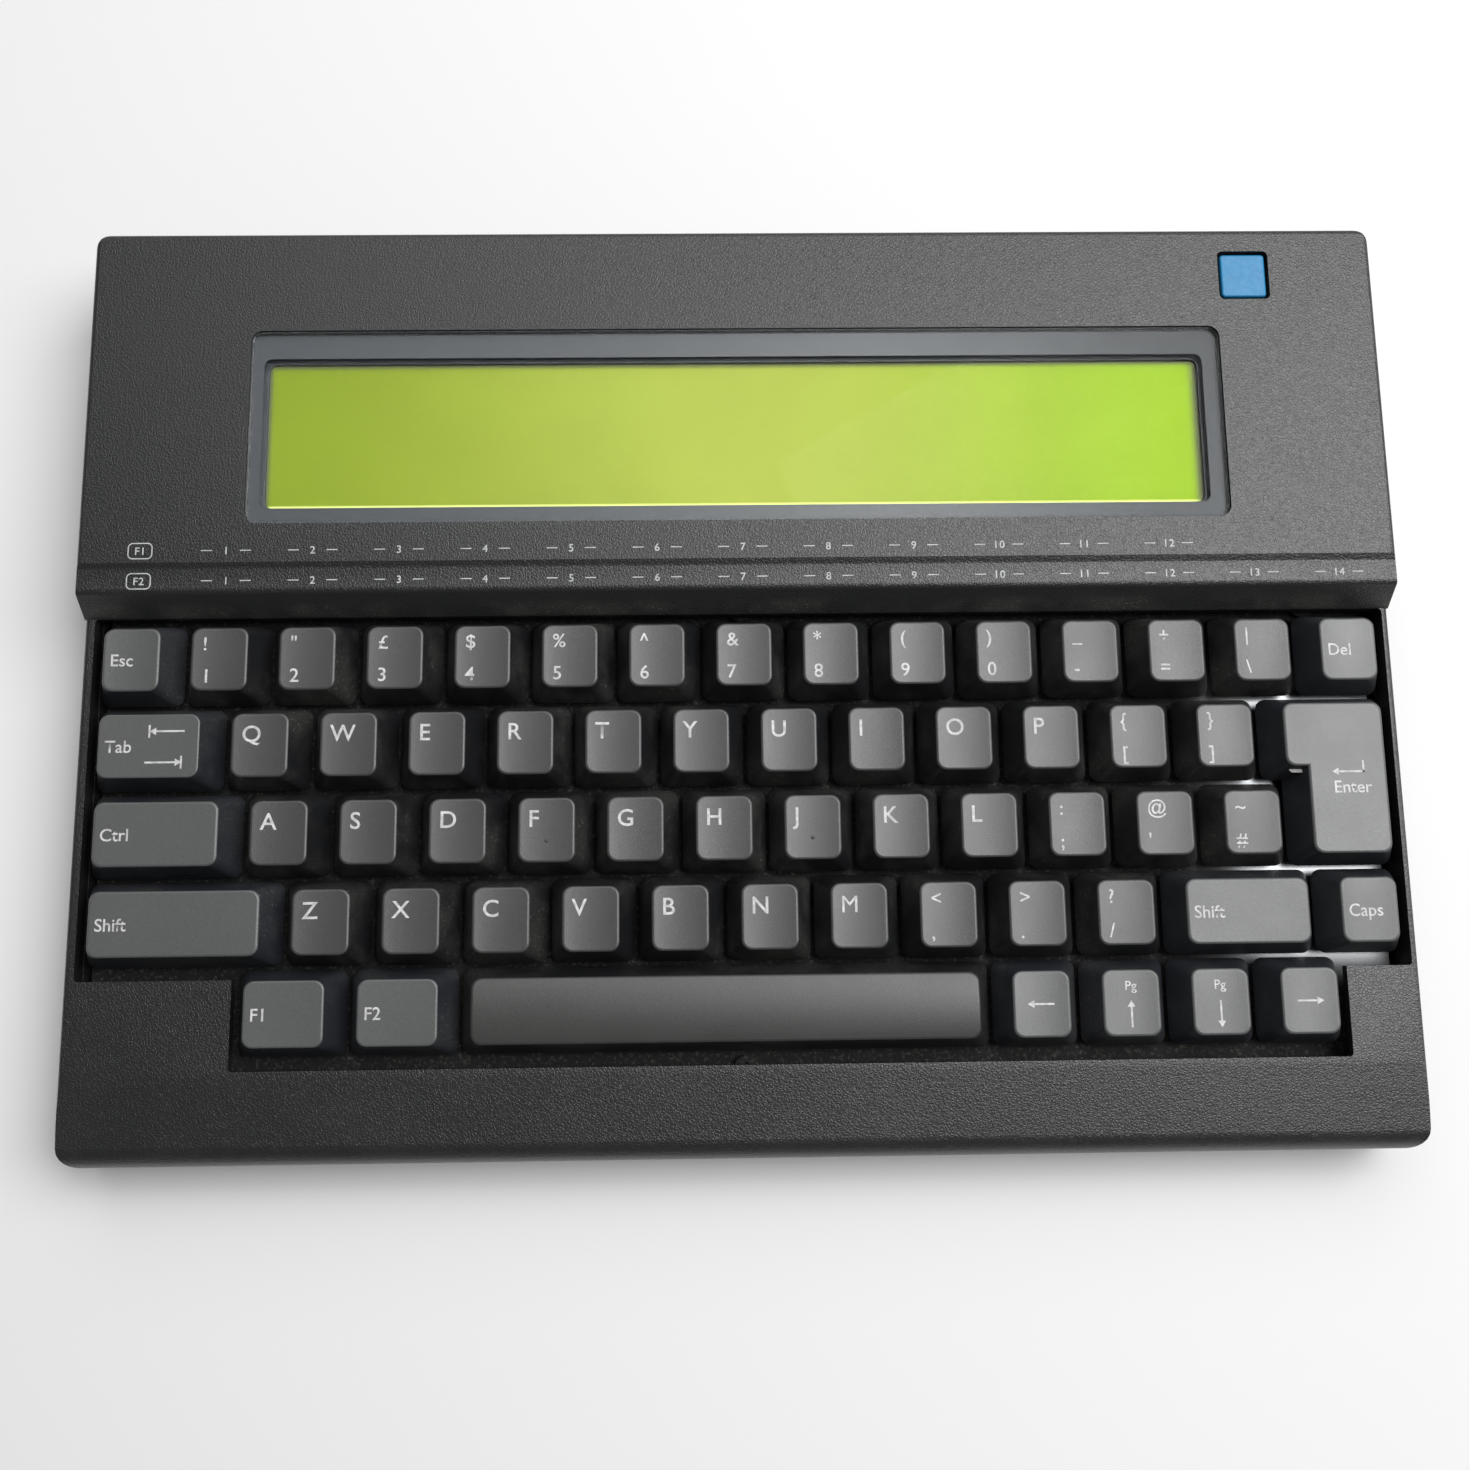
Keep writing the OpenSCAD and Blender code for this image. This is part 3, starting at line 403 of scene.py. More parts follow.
bodies = frame["record"]["behaviour"]["bodies"]
body_of = {node: body for body, nodes in bodies.items() for node in nodes}
SHELLS = (("upper_case", "case", case_mat, case_edge_mat),
          ("lower_case", "lower_case", base_mat, base_edge_mat),
          ("battery_cover", "cover", base_mat, base_edge_mat))
for node, slot, mat, edge_mat in SHELLS:
    shell = refined(node, mat, 0.3 * MM, edge_mat=edge_mat)
    print(shell.name, len(shell.data.polygons), "faces before rounding")

# %% [markdown]
# All keys stand on one grid. Its pitch and origin follow from the Esc key's box: every skirt is
# one pitch wide less the gap between keys. The table gives each key's body, row, left edge and
# width in pitches, and what is printed on it.

# %% Key grid
UNIT = 19.05 * MM
esc_low, esc_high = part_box("escape_key")
KEY_GAP = UNIT - (esc_high[0] - esc_low[0])
GRID_X = esc_low[0] - KEY_GAP / 2
GRID_Y = esc_high[1] + KEY_GAP / 2
KEY_H = 8.0 * MM
SKIRT_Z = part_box("caps_lock_key")[1][2] - KEY_H
TOP_W = 12.0 * MM
TOP_D = 13.8 * MM
LEAN_X = (UNIT - KEY_GAP - TOP_W) / 2
LEAN_Y = (UNIT - KEY_GAP - TOP_D) / 2
DISH = 0.5 * MM
CROWN = 0.9 * MM
CORNER_R = 2.1 * MM
RIM_R = 0.5 * MM
WALL = 1.1 * MM
CEILING = 6.0 * MM
print("pitch", round(UNIT / MM, 2), "gap", round(KEY_GAP / MM, 2))
print("grid corner", round(GRID_X / MM, 2), round(GRID_Y / MM, 2))


def key_middle(row, left, width, deep=1):
    return Vector((GRID_X + (left + width / 2) * UNIT, GRID_Y - (row - 1 + deep / 2) * UNIT, SKIRT_Z))


# %% [markdown]
# A keycap is a tapered block. Its upright corners are rounded, the underside is hollow, and the
# top face is cut into strips so that it can sink into a trough that runs front to back. Last,
# the rim of the top is rounded: that thin edge is what catches the light.

# %% One keycap
def taper_block(w, d):
    bm = bmesh.new()
    bmesh.ops.create_cube(bm, size=1)
    for v in bm.verts:
        top = v.co.z > 0
        v.co.x *= w - (2 * LEAN_X if top else 0)
        v.co.y *= d - (2 * LEAN_Y if top else 0)
        v.co.z = KEY_H if top else 0
    return bm


def upright_edges(bm):
    return [e for e in bm.edges if abs(e.verts[0].co.z - e.verts[1].co.z) > 0.5 * KEY_H]


def flat_faces(bm, z, up):
    return [f for f in bm.faces if (f.normal.z > 0.9 if up else f.normal.z < -0.9)
            and abs(f.calc_center_median().z - z) < 0.2 * MM]


def hollow_out(bm):
    low = flat_faces(bm, 0, False)
    bmesh.ops.inset_region(bm, faces=low, thickness=WALL, use_even_offset=True)
    inner = max(flat_faces(bm, 0, False), key=lambda f: f.calc_area())
    raised = bmesh.ops.extrude_discrete_faces(bm, faces=[inner])["faces"][0]
    middle = raised.calc_center_median()
    for v in raised.verts:
        v.co.z += CEILING
        v.co.x = middle.x + (v.co.x - middle.x) * 0.72
        v.co.y = middle.y + (v.co.y - middle.y) * 0.82


def cut_top(bm, axis, places):
    normal = Vector((1, 0, 0)) if axis == 0 else Vector((0, 1, 0))
    for place in places:
        tops = flat_faces(bm, KEY_H, True)
        geometry = set(tops)
        for face in tops:
            geometry.update(face.edges)
            geometry.update(face.verts)
        bmesh.ops.bisect_plane(bm, geom=list(geometry), plane_co=normal * place,
                               plane_no=normal, dist=1e-7)


def round_rim(bm):
    rim = []
    for edge in bm.edges:
        faces = edge.link_faces
        if len(faces) == 2 and min(v.co.z for v in edge.verts) > KEY_H * 0.85:
            ups = [f.normal.z > 0.9 for f in faces]
            if ups[0] != ups[1]:
                rim.append(edge)
    bmesh.ops.bevel(bm, geom=rim, offset=RIM_R, offset_type="OFFSET", affect="EDGES", segments=4,
                    profile=0.5, material=-1, clamp_overlap=True)


def rounded_block(w, d):
    bm = taper_block(w, d)
    bm.normal_update()
    bmesh.ops.bevel(bm, geom=upright_edges(bm), offset=CORNER_R, offset_type="OFFSET", affect="EDGES",
                    segments=5, profile=0.5, material=-1)
    return bm


def keycap(width, dish=DISH, crown=0.0):
    w = width * UNIT - KEY_GAP
    d = UNIT - KEY_GAP
    bm = rounded_block(w, d)
    hollow_out(bm)
    bm.normal_update()
    half_w = w / 2 - LEAN_X
    half_d = d / 2 - LEAN_Y
    if crown:
        cut_top(bm, 1, [half_d * i / 5 for i in range(-4, 5)])
    else:
        cut_top(bm, 0, [half_w * i / 5 for i in range(-4, 5)])
    for v in bm.verts:
        if v.co.z > KEY_H - 0.01 * MM:
            v.co.z -= crown * min(abs(v.co.y) / half_d, 1) ** 2
            v.co.z -= 0 if crown else dish * max(0.0, 1 - (v.co.x / half_w) ** 2)
    bm.normal_update()
    round_rim(bm)
    return bm


# %% [markdown]
# The tall key in the corner starts from its outline instead of a block: six corners at the
# skirt, extruded up and drawn in by the same lean as every other key. The inner corner of its
# notch stays sharp, and the other five are rounded. An edge is known by its foot, because the
# order of the two ends of an edge isn't fixed.

# %% The tall key
ENTER_NOTCH = 0.25 * UNIT
ENTER_W = 1.25 * UNIT - KEY_GAP
ENTER_D = 2 * UNIT - KEY_GAP


def foot(edge):
    return min((v.co for v in edge.verts), key=lambda co: co.z)


def tall_keycap():
    x, y, wide, step = ENTER_W / 2, ENTER_D / 2, -ENTER_W / 2 - ENTER_NOTCH, KEY_GAP / 2
    corners = [(-x, -y, 1, 1), (x, -y, -1, 1), (x, y, -1, -1),
               (wide, y, 1, -1), (wide, step, 1, 1), (-x, step, 1, 1)]
    bm = bmesh.new()
    base = bm.faces.new([bm.verts.new((cx, cy, 0)) for cx, cy, _, _ in corners])
    raised = bmesh.ops.extrude_face_region(bm, geom=[base], use_keep_orig=True)["geom"]
    tops = [v for v in raised if isinstance(v, bmesh.types.BMVert)]
    for v in tops:
        _, _, sx, sy = min(corners, key=lambda c: (c[0] - v.co.x) ** 2 + (c[1] - v.co.y) ** 2)
        v.co += Vector((sx * LEAN_X, sy * LEAN_Y, KEY_H))
    bmesh.ops.recalc_face_normals(bm, faces=bm.faces)
    notch = Vector((-x, step, 0))
    inner = min(upright_edges(bm), key=lambda e: (foot(e) - notch).length)
    outer = [e for e in upright_edges(bm) if e is not inner]
    bmesh.ops.bevel(bm, geom=outer, offset=CORNER_R, offset_type="OFFSET", affect="EDGES", segments=5,
                    profile=0.5, material=-1)
    hollow_out(bm)
    bm.normal_update()
    round_rim(bm)
    return bm


# %% [markdown]
# A print is flat. A text object is turned into a flat mesh, and arrows are bars and
# triangles. Everything is laid out around the middle of the key's top, and then each point is
# lifted onto the hollow of that top, so that the ink lies on the plastic.

# %% Flat marks
STROKE = 0.42 * MM
ARROW_HEAD = 0.95 * MM


def absorb(bm, other, offset=(0, 0, 0)):
    bmesh.ops.translate(other, verts=other.verts, vec=offset)
    data = bpy.data.meshes.new("part")
    other.to_mesh(data)
    other.free()
    bm.from_mesh(data)
    bpy.data.meshes.remove(data)


def text_mesh(text, cap_height, spacing=1.0, align="LEFT"):
    curve = bpy.data.curves.new("mark", "FONT")
    curve.body = text
    curve.size = cap_height / 0.73
    curve.space_character = spacing
    curve.align_x = align
    curve.resolution_u = 4
    curve.offset = 0 if "M" in text else cap_height * 0.012
    holder = link(bpy.data.objects.new("mark", curve))
    graph = bpy.context.evaluated_depsgraph_get()
    data = bpy.data.meshes.new_from_object(holder.evaluated_get(graph))
    bm = bmesh.new()
    bm.from_mesh(data)
    bpy.data.objects.remove(holder)
    bpy.data.curves.remove(curve)
    bpy.data.meshes.remove(data)
    return bm


def put_text(bm, text, x, y, cap_height, spacing=1.0, align="LEFT"):
    absorb(bm, text_mesh(text, cap_height, spacing, align), (x, y, 0))


def put_bar(bm, x0, y0, x1, y1, stroke=STROKE):
    bar = bmesh.new()
    bmesh.ops.create_grid(bar, x_segments=1, y_segments=1, size=0.5)
    length = math.hypot(x1 - x0, y1 - y0)
    bmesh.ops.scale(bar, verts=bar.verts, vec=(length, stroke, 1))
    turn = Matrix.Rotation(math.atan2(y1 - y0, x1 - x0), 3, "Z")
    bmesh.ops.rotate(bar, verts=bar.verts, matrix=turn)
    absorb(bm, bar, ((x0 + x1) / 2, (y0 + y1) / 2, 0))


def put_arrow(bm, x0, y0, x1, y1):
    length = math.hypot(x1 - x0, y1 - y0)
    along = Vector(((x1 - x0) / length, (y1 - y0) / length))
    neck = Vector((x1, y1)) - along * ARROW_HEAD * 1.2
    put_bar(bm, x0, y0, neck.x, neck.y)
    tip = bmesh.new()
    bmesh.ops.create_circle(tip, segments=3, radius=ARROW_HEAD, cap_ends=True)
    bmesh.ops.rotate(tip, verts=tip.verts, matrix=Matrix.Rotation(math.radians(-90), 3, "Z"))
    bmesh.ops.translate(tip, verts=tip.verts, vec=(ARROW_HEAD / 2, 0, 0))
    turn = Matrix.Rotation(math.atan2(along.y, along.x), 3, "Z")
    bmesh.ops.rotate(tip, verts=tip.verts, matrix=turn)
    absorb(bm, tip, (neck.x, neck.y, 0))


# %% [markdown]
# Each key's marks are placed from the left and rear edges of its top, as a designer dimensions
# them. Letters stand large in the rear left corner, number keys carry two signs.

# %% Layouts of the prints
WORD_H = 2.75 * MM


def letter_print(bm, width, text):
    put_text(bm, text, -TOP_W / 2 + 2.0 * MM, TOP_D / 2 - 6.2 * MM, 3.75 * MM)


def pair_print(bm, width, text):
    put_text(bm, text[0], -TOP_W / 2 + 2.2 * MM, TOP_D / 2 - 4.9 * MM, 3.1 * MM)
    put_text(bm, text[1], -TOP_W / 2 + 2.2 * MM, -TOP_D / 2 + 1.7 * MM, 3.1 * MM)


def word_print(bm, width, text):
    left = -(width * UNIT - KEY_GAP) / 2 + LEAN_X
    put_text(bm, text, left + 1.4 * MM, -1.4 * MM, WORD_H)
    return left


def tab_print(bm, width, text):
    left = word_print(bm, width, text)
    x0, x1 = left + 10.8 * MM, left + 18.4 * MM
    put_arrow(bm, x1, 3.2 * MM, x0 + 0.3 * MM, 3.2 * MM)
    put_bar(bm, x0, 1.8 * MM, x0, 4.6 * MM)
    put_arrow(bm, x0 - 0.8 * MM, -3.6 * MM, x1 - 0.7 * MM, -3.6 * MM)
    put_bar(bm, x1 - 0.5 * MM, -5.0 * MM, x1 - 0.5 * MM, -2.2 * MM)


def return_print(bm, width, text):
    put_arrow(bm, 3.6 * MM, 1.2 * MM, -3.2 * MM, 1.2 * MM)
    put_bar(bm, 3.4 * MM, 1.0 * MM, 3.4 * MM, 3.6 * MM)
    put_text(bm, text, -3.4 * MM, -3.4 * MM, WORD_H)


def arrow_print(bm, width, text):
    dx, dy = {"<": (-1, 0), ">": (1, 0), "^": (0, 1), "v": (0, -1)}[text[0]]
    reach = 2.7 * MM
    drop = -2.4 * MM if len(text) > 1 else 0
    put_arrow(bm, -dx * reach, -dy * reach + drop, dx * reach, dy * reach + drop)
    if len(text) > 1:
        put_text(bm, text[1:], 0, 2.7 * MM, 2.0 * MM, align="CENTER")


# %% [markdown]
# The table of keys. Rows count from the display towards the typist.

# %% Table of keys
LETTER_ROWS = (("QWERTYUIOP", 2, 1.5), ("ASDFGHJKL", 3, 1.75), ("ZXCVBNM", 4, 2.25))
SIGNS = ((1, 11, "_-"), (1, 12, "+="), (1, 13, "|\\"), (2, 11.5, "{["), (2, 12.5, "}]"),
         (3, 10.75, ":;"), (3, 11.75, "@'"), (3, 12.75, "~#"),
         (4, 9.25, "<,"), (4, 10.25, ">."), (4, 11.25, "?/"))
keys = [("key_" + c.lower(), row, left + i, 1, letter_print, c)
        for line, row, left in LETTER_ROWS for i, c in enumerate(line)]
keys += [("digit_keys", 1, i + 1, 1, pair_print, pair)
         for i, pair in enumerate(zip('!"£$%^&*()', "1234567890"))]
keys += [("symbol_keys", row, left, 1, pair_print, pair) for row, left, pair in SIGNS]
keys += [("arrow_keys", 5, 10.25 + i, 1, arrow_print, text)
         for i, text in enumerate(("<", "^Pg", "vPg", ">"))]
keys += [("escape_key", 1, 0, 1, word_print, "Esc"), ("backspace_key", 1, 14, 1, word_print, "Del"),
         ("tab_key", 2, 0, 1.5, tab_print, "Tab"), ("control_key", 3, 0, 1.75, word_print, "Ctrl"),
         ("left_shift_key", 4, 0, 2.25, word_print, "Shift"),
         ("right_shift_key", 4, 12.25, 1.75, word_print, "Shift"),
         ("caps_lock_key", 4, 14, 1, word_print, "Caps"), ("f1_key", 5, 1.75, 1.25, word_print, "F1"),
         ("f2_key", 5, 3, 1.25, word_print, "F2")]
print(len(keys) + 2, "keys")

# %% [markdown]
# Caps that share a CAD node are built as one piece, and so are their prints. A print is laid
# out flat and then settled onto the dished top. F and J carry the raised dot of the home keys.

# %% Build every keycap and its print
INK_LIFT = 0.035 * MM


def settle(bm, half_w, dish):
    for v in bm.verts:
        v.co.z = KEY_H + INK_LIFT - dish * max(0.0, 1 - (v.co.x / half_w) ** 2)


def dot_bump(bm):
    dot = bmesh.new()
    bmesh.ops.create_uvsphere(dot, u_segments=12, v_segments=6, radius=0.42 * MM)
    absorb(bm, dot, (0, -TOP_D / 2 + 4.6 * MM, KEY_H - DISH - 0.05 * MM))


def ink_piece(bm, name, node, mat):
    data = bpy.data.meshes.new(name)
    bm.to_mesh(data)
    bm.free()
    data.materials.append(mat)
    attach(link(bpy.data.objects.new(name, data)), body_of[node])


for node in dict.fromkeys(key[0] for key in keys):
    caps, inks = bmesh.new(), bmesh.new()
    for _, row, left, width, layout, text in (key for key in keys if key[0] == node):
        dish = DISH if width == 1 else DISH * 0.5
        middle = key_middle(row, left, width)
        cap = keycap(width, dish)
        if text in ("F", "J") and layout is letter_print:
            dot_bump(cap)
        absorb(caps, cap, middle)
        marks = bmesh.new()
        layout(marks, width, text)
        settle(marks, (width * UNIT - KEY_GAP) / 2 - LEAN_X, dish)
        absorb(inks, marks, middle)
    letter = node.startswith("key_")
    dark = letter or node.startswith(("digit", "symbol"))
    name = node + ("_cap" if letter else "_caps")
    piece = finish_piece(caps, name, dark_key_mat if dark else grey_key_mat, node)
    ink_piece(inks, node + "_print", node, ink_mat)

# %% [markdown]
# The space bar has a top that is crowned from front to rear, and no print. The tall key has a
# flat top.

# %% The space bar and the tall key
space = keycap(6, crown=CROWN)
bmesh.ops.translate(space, verts=space.verts, vec=key_middle(5, 4.25, 6))
finish_piece(space, "space_bar_cap", space_key_mat, "space_bar")
enter = tall_keycap()
enter_middle = key_middle(2, 13.75, 1.25, 2)
bmesh.ops.translate(enter, verts=enter.verts, vec=enter_middle)
finish_piece(enter, "enter_key_cap", grey_key_mat, "enter_key")
marks = bmesh.new()
return_print(marks, 1.25, "Enter")
settle(marks, 1, 0)
bmesh.ops.translate(marks, verts=marks.verts, vec=enter_middle)
ink_piece(marks, "enter_key_print", "enter_key", ink_mat)

# %% [markdown]
# The deck carries two rows of plain numbers, one over each function key position, with a short
# dash at each side. Two boxed marks at the left tell which key goes with which row.

# %% Numbers on the deck
DECK_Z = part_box("upper_case")[1][2]
STEP_DROP = 0.7 * MM
FIRST_X = -112.45 * MM
MARK_PITCH = 18.81 * MM
MARK_H = 1.75 * MM


def boxed_mark(bm, x, y, text):
    put_text(bm, text, x, y - 0.85 * MM, MARK_H, 1.1, "CENTER")
    ring = bmesh.new()
    bmesh.ops.create_grid(ring, x_segments=1, y_segments=1, size=0.5)
    bmesh.ops.scale(ring, verts=ring.verts, vec=(5.4 * MM, 3.7 * MM, 1))
    bmesh.ops.bevel(ring, geom=ring.verts[:], offset=1.1 * MM, offset_type="OFFSET",
                    affect="VERTICES", segments=5, profile=0.5, material=-1)
    bmesh.ops.inset_region(ring, faces=ring.faces[:], thickness=0.24 * MM, use_boundary=True)
    middle = max(ring.faces, key=lambda f: f.calc_area())
    bmesh.ops.delete(ring, geom=[middle], context="FACES_ONLY")
    absorb(bm, ring, (x, y, 0))


def number_mark(bm, x, y, text):
    put_text(bm, text, x, y - 0.85 * MM, MARK_H, 1.15, "CENTER")
    for side in (-1, 1):
        put_bar(bm, x + side * 3.0 * MM, y, x + side * 5.4 * MM, y, 0.22 * MM)


def deck_print(name, y, z, box_x, box_text, count):
    marks = bmesh.new()
    boxed_mark(marks, box_x, y, box_text)
    for i in range(count):
        number_mark(marks, FIRST_X + i * MARK_PITCH, y, str(i + 1))
    for v in marks.verts:
        v.co.z = z + 0.02 * MM
    ink_piece(marks, name, "upper_case", label_mat)


deck_print("upper_deck_print", 28.5 * MM, DECK_Z, -131.1 * MM, "F1", 12)
deck_print("lower_deck_print", 21.9 * MM, DECK_Z - STEP_DROP, -131.4 * MM, "F2", 14)

# %% [markdown]
# The display is seen through the clear window: a painted metal frame, and behind its opening the
# yellow-green glass. Its colour is painted lighter towards the middle and the right, where light
# falls on it, olive painted shade lies along its upper, left and right edges, and a painted
# highlight makes a bright line along its lower edge.

# %% Display glass, frame and window
def ramp_along(tree, axis, low, high):
    place = add(tree, "ShaderNodeTexCoord")
    split = add(tree, "ShaderNodeSeparateXYZ")
    join(tree, place.outputs["Object"], split.inputs[0])
    return remap(tree, split.outputs[axis], low, high)


window_low, window_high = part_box("display_window")
VIEW_X0 = -105.6 * MM
VIEW_X1 = 104.4 * MM
VIEW_Y0 = window_low[1] + 4.15 * MM
VIEW_Y1 = window_high[1] - 6.55 * MM
FILM_MIDDLE = 5 * MM
print("view", round((VIEW_X1 - VIEW_X0) / MM, 1), "x", round((VIEW_Y1 - VIEW_Y0) / MM, 1), "mm")

lcd_mat, tree, shader = material("display_film", linear(190, 212, 100), 0.6, specular=0.1)
# Painted light: the film is lighter towards the middle and the right.
to_middle = ramp_along(tree, "X", VIEW_X0, FILM_MIDDLE)
lit_left_half = mix_color(tree, to_middle, linear(120, 137, 37), linear(149, 160, 67))
to_right = ramp_along(tree, "X", FILM_MIDDLE, VIEW_X1)
lit_film = mix_color(tree, to_right, lit_left_half, linear(130, 162, 27))
mottle = remap(tree, noise(tree, 40.0, 3.0), 0.3, 0.7, 0.97, 1.03)
body = mix_color(tree, 1.0, lit_film, mottle, "MULTIPLY")
# Painted shade along the upper, left and right edges of the film, under the frame's edge.
edge_shade = ramp_along(tree, "Y", VIEW_Y1, VIEW_Y1 - 1.5 * MM)
edge_shade = maths(tree, "MULTIPLY", edge_shade, ramp_along(tree, "X", VIEW_X0, VIEW_X0 + 1.3 * MM))
edge_shade = maths(tree, "MULTIPLY", edge_shade, ramp_along(tree, "X", VIEW_X1, VIEW_X1 - 2.6 * MM))
edge_shaded_film = mix_color(tree, edge_shade, linear(92, 96, 70), body)
# Painted highlight: a bright line along the lower edge of the film.
bottom_highlight = maths(tree, "MULTIPLY", ramp_along(tree, "Y", VIEW_Y0 + 0.9 * MM, VIEW_Y0 + 0.3 * MM), edge_shade)
join(tree, mix_color(tree, bottom_highlight, edge_shaded_film, linear(226, 240, 140)), shader.inputs["Base Color"])
frame["nodes"]["display_glass"].data.materials.clear()
frame["nodes"]["display_glass"].data.materials.append(lcd_mat)

frame_paint, tree, shader = material("display_frame_paint", linear(84, 88, 94), 0.42, metallic=0.3)
# Painted light and shade: the frame's grey is lighter towards the middle and much darker towards its
# right end.
to_middle = ramp_along(tree, "X", -95 * MM, 20 * MM)
frame_lit_middle = mix_color(tree, to_middle, linear(71, 74, 78), linear(80, 82, 84))
to_right = ramp_along(tree, "X", 20 * MM, 108 * MM)
frame_paint_and_shade = mix_color(tree, to_right, frame_lit_middle, linear(32, 35, 38))
flecked = remap(tree, noise(tree, 2400.0, 2.0), 0.35, 0.65, 0.97, 1.03)
join(tree, mix_color(tree, 1.0, frame_paint_and_shade, flecked, "MULTIPLY"), shader.inputs["Base Color"])
refined("display_frame", frame_paint, 0.12 * MM)

# %% [markdown]
# A band in the frame's grey is printed on the underside of the window, and covers the ledge
# that holds it. Its blue-grey is partly painted reflection of the window, and it carries the
# frame's painted shade. It is a flat ring, made by bridging two rounded outlines.

# %% Printed band on the underside of the window
border = bmesh.new()
INSET = 0.25 * MM
REACH = 0.7 * MM
BAND_Z = window_low[2] + 0.04 * MM
band_outside = (window_low[0] + INSET, window_low[1] + INSET,
                window_high[0] - INSET, window_high[1] - INSET)
band_inside = (VIEW_X0 - REACH, VIEW_Y0 - REACH, VIEW_X1 + REACH, VIEW_Y1 + REACH)
for x0, y0, x1, y1 in (band_outside, band_inside):
    corners = ((x0, y0), (x1, y0), (x1, y1), (x0, y1))
    border.faces.new([border.verts.new((x, y, BAND_Z)) for x, y in corners])
bmesh.ops.bevel(border, geom=border.verts[:], offset=1.8 * MM, offset_type="OFFSET",
                affect="VERTICES", segments=5, profile=0.5, material=-1)
bmesh.ops.delete(border, geom=border.faces[:], context="FACES_ONLY")
bmesh.ops.bridge_loops(border, edges=border.edges[:])
bmesh.ops.recalc_face_normals(border, faces=border.faces[:])
border_mesh = bpy.data.meshes.new("window_border")
border.to_mesh(border_mesh)
border.free()
# The frame's grey here is partly painted reflection, with the frame's painted shade.
border_mesh.materials.append(frame_paint)
window_border = link(bpy.data.objects.new("window_border", border_mesh))
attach(window_border, body_of["display_window"])
print("window border", len(border_mesh.polygons), "faces")

# %% Clear window
window_mat, tree, shader = material("clear_window", (0.93, 0.95, 0.95, 1), 0.02)
shader.inputs["Transmission Weight"].default_value = 1.0
shader.inputs["IOR"].default_value = 1.08
scratch = add(tree, "ShaderNodeTexWave", {"Scale": 90.0, "Distortion": 14.0, "Detail": 2.0})
place = add(tree, "ShaderNodeTexCoord")
join(tree, place.outputs["Object"], scratch.inputs["Vector"])
join(tree, remap(tree, scratch.outputs["Fac"], 0.985, 1.0, 0.02, 0.10), shader.inputs["Roughness"])
path = add(tree, "ShaderNodeLightPath")
let_through = add(tree, "ShaderNodeBsdfTransparent")
blend = add(tree, "ShaderNodeMixShader")
surface = tree.nodes["Material Output"].inputs["Surface"]
join(tree, path.outputs["Is Shadow Ray"], blend.inputs[0])
join(tree, shader.outputs[0], blend.inputs[1])
join(tree, let_through.outputs[0], blend.inputs[2])
join(tree, blend.outputs[0], surface)
refined("display_window", window_mat, 0.2 * MM)

# %% [markdown]
# The remaining CAD pieces already have their true shape, and each one only gets its finish:
# zinc-plated screws and sockets, rubber feet, dusty black switches, and green boards on which
# everything above the copper side is a dark component.

# %% Finishes of the inner pieces
def speckled(name, color, spread=0.12, scale=900.0, **finish):
    mat, tree, shader = material(name, color, **finish)
    tone = remap(tree, noise(tree, scale, 3.0, 0.6), 0.3, 0.7, 1 - spread, 1 + spread)
    join(tree, mix_color(tree, 1.0, color, tone, "MULTIPLY"), shader.inputs["Base Color"])
    grit = noise(tree, scale * 2.5, 2.0)
    base = finish.get("roughness", 0.5)
    join(tree, remap(tree, grit, 0.3, 0.7, base * 0.85, base * 1.15), shader.inputs["Roughness"])
    bump(tree, shader, grit, 0.00002, 0.5)
    return mat


def brushed(name, color, roughness):
    mat, tree, shader = material(name, color, roughness, metallic=1.0)
    place = add(tree, "ShaderNodeTexCoord")
    stretch = add(tree, "ShaderNodeMapping")
    stretch.inputs["Scale"].default_value = (40, 2500, 600)
    join(tree, place.outputs["Object"], stretch.inputs["Vector"])
    lines = add(tree, "ShaderNodeTexNoise", {"Scale": 1.0, "Detail": 3.0})
    join(tree, stretch.outputs["Vector"], lines.inputs["Vector"])
    tone = remap(tree, lines.outputs["Fac"], 0.3, 0.7, 0.88, 1.1)
    join(tree, mix_color(tree, 1.0, color, tone, "MULTIPLY"), shader.inputs["Base Color"])
    join(tree, remap(tree, lines.outputs["Fac"], 0.3, 0.7, roughness - 0.06, roughness + 0.08),
         shader.inputs["Roughness"])
    return mat, tree, shader


def dust_and_shade(tree):
    """Colour of what lies under the keys: tufts of dark dust, and painted shade where the keys shade
    it.
    """
    tufts = remap(tree, noise(tree, 1300.0, 4.0, 0.7), 0.5, 0.75)
    return mix_color(tree, tufts, linear(22, 22, 22), linear(84, 82, 77))


def screw_finish():
    """Zinc plate, and on the heads that lie on the key plate dark dust with painted shade."""
    mat, tree, shader = brushed("zinc_plate", linear(176, 178, 182), 0.34)
    zinc = shader.inputs["Base Color"].links[0].from_socket
    buried = ramp_along(tree, "Z", 12.2 * MM, 12.8 * MM)
    join(tree, mix_color(tree, buried, zinc, dust_and_shade(tree)), shader.inputs["Base Color"])
    join(tree, maths(tree, "SUBTRACT", 1.0, buried), shader.inputs["Metallic"])
    join(tree, remap(tree, buried, 0.0, 1.0, 0.34, 0.85), shader.inputs["Roughness"])
    return mat


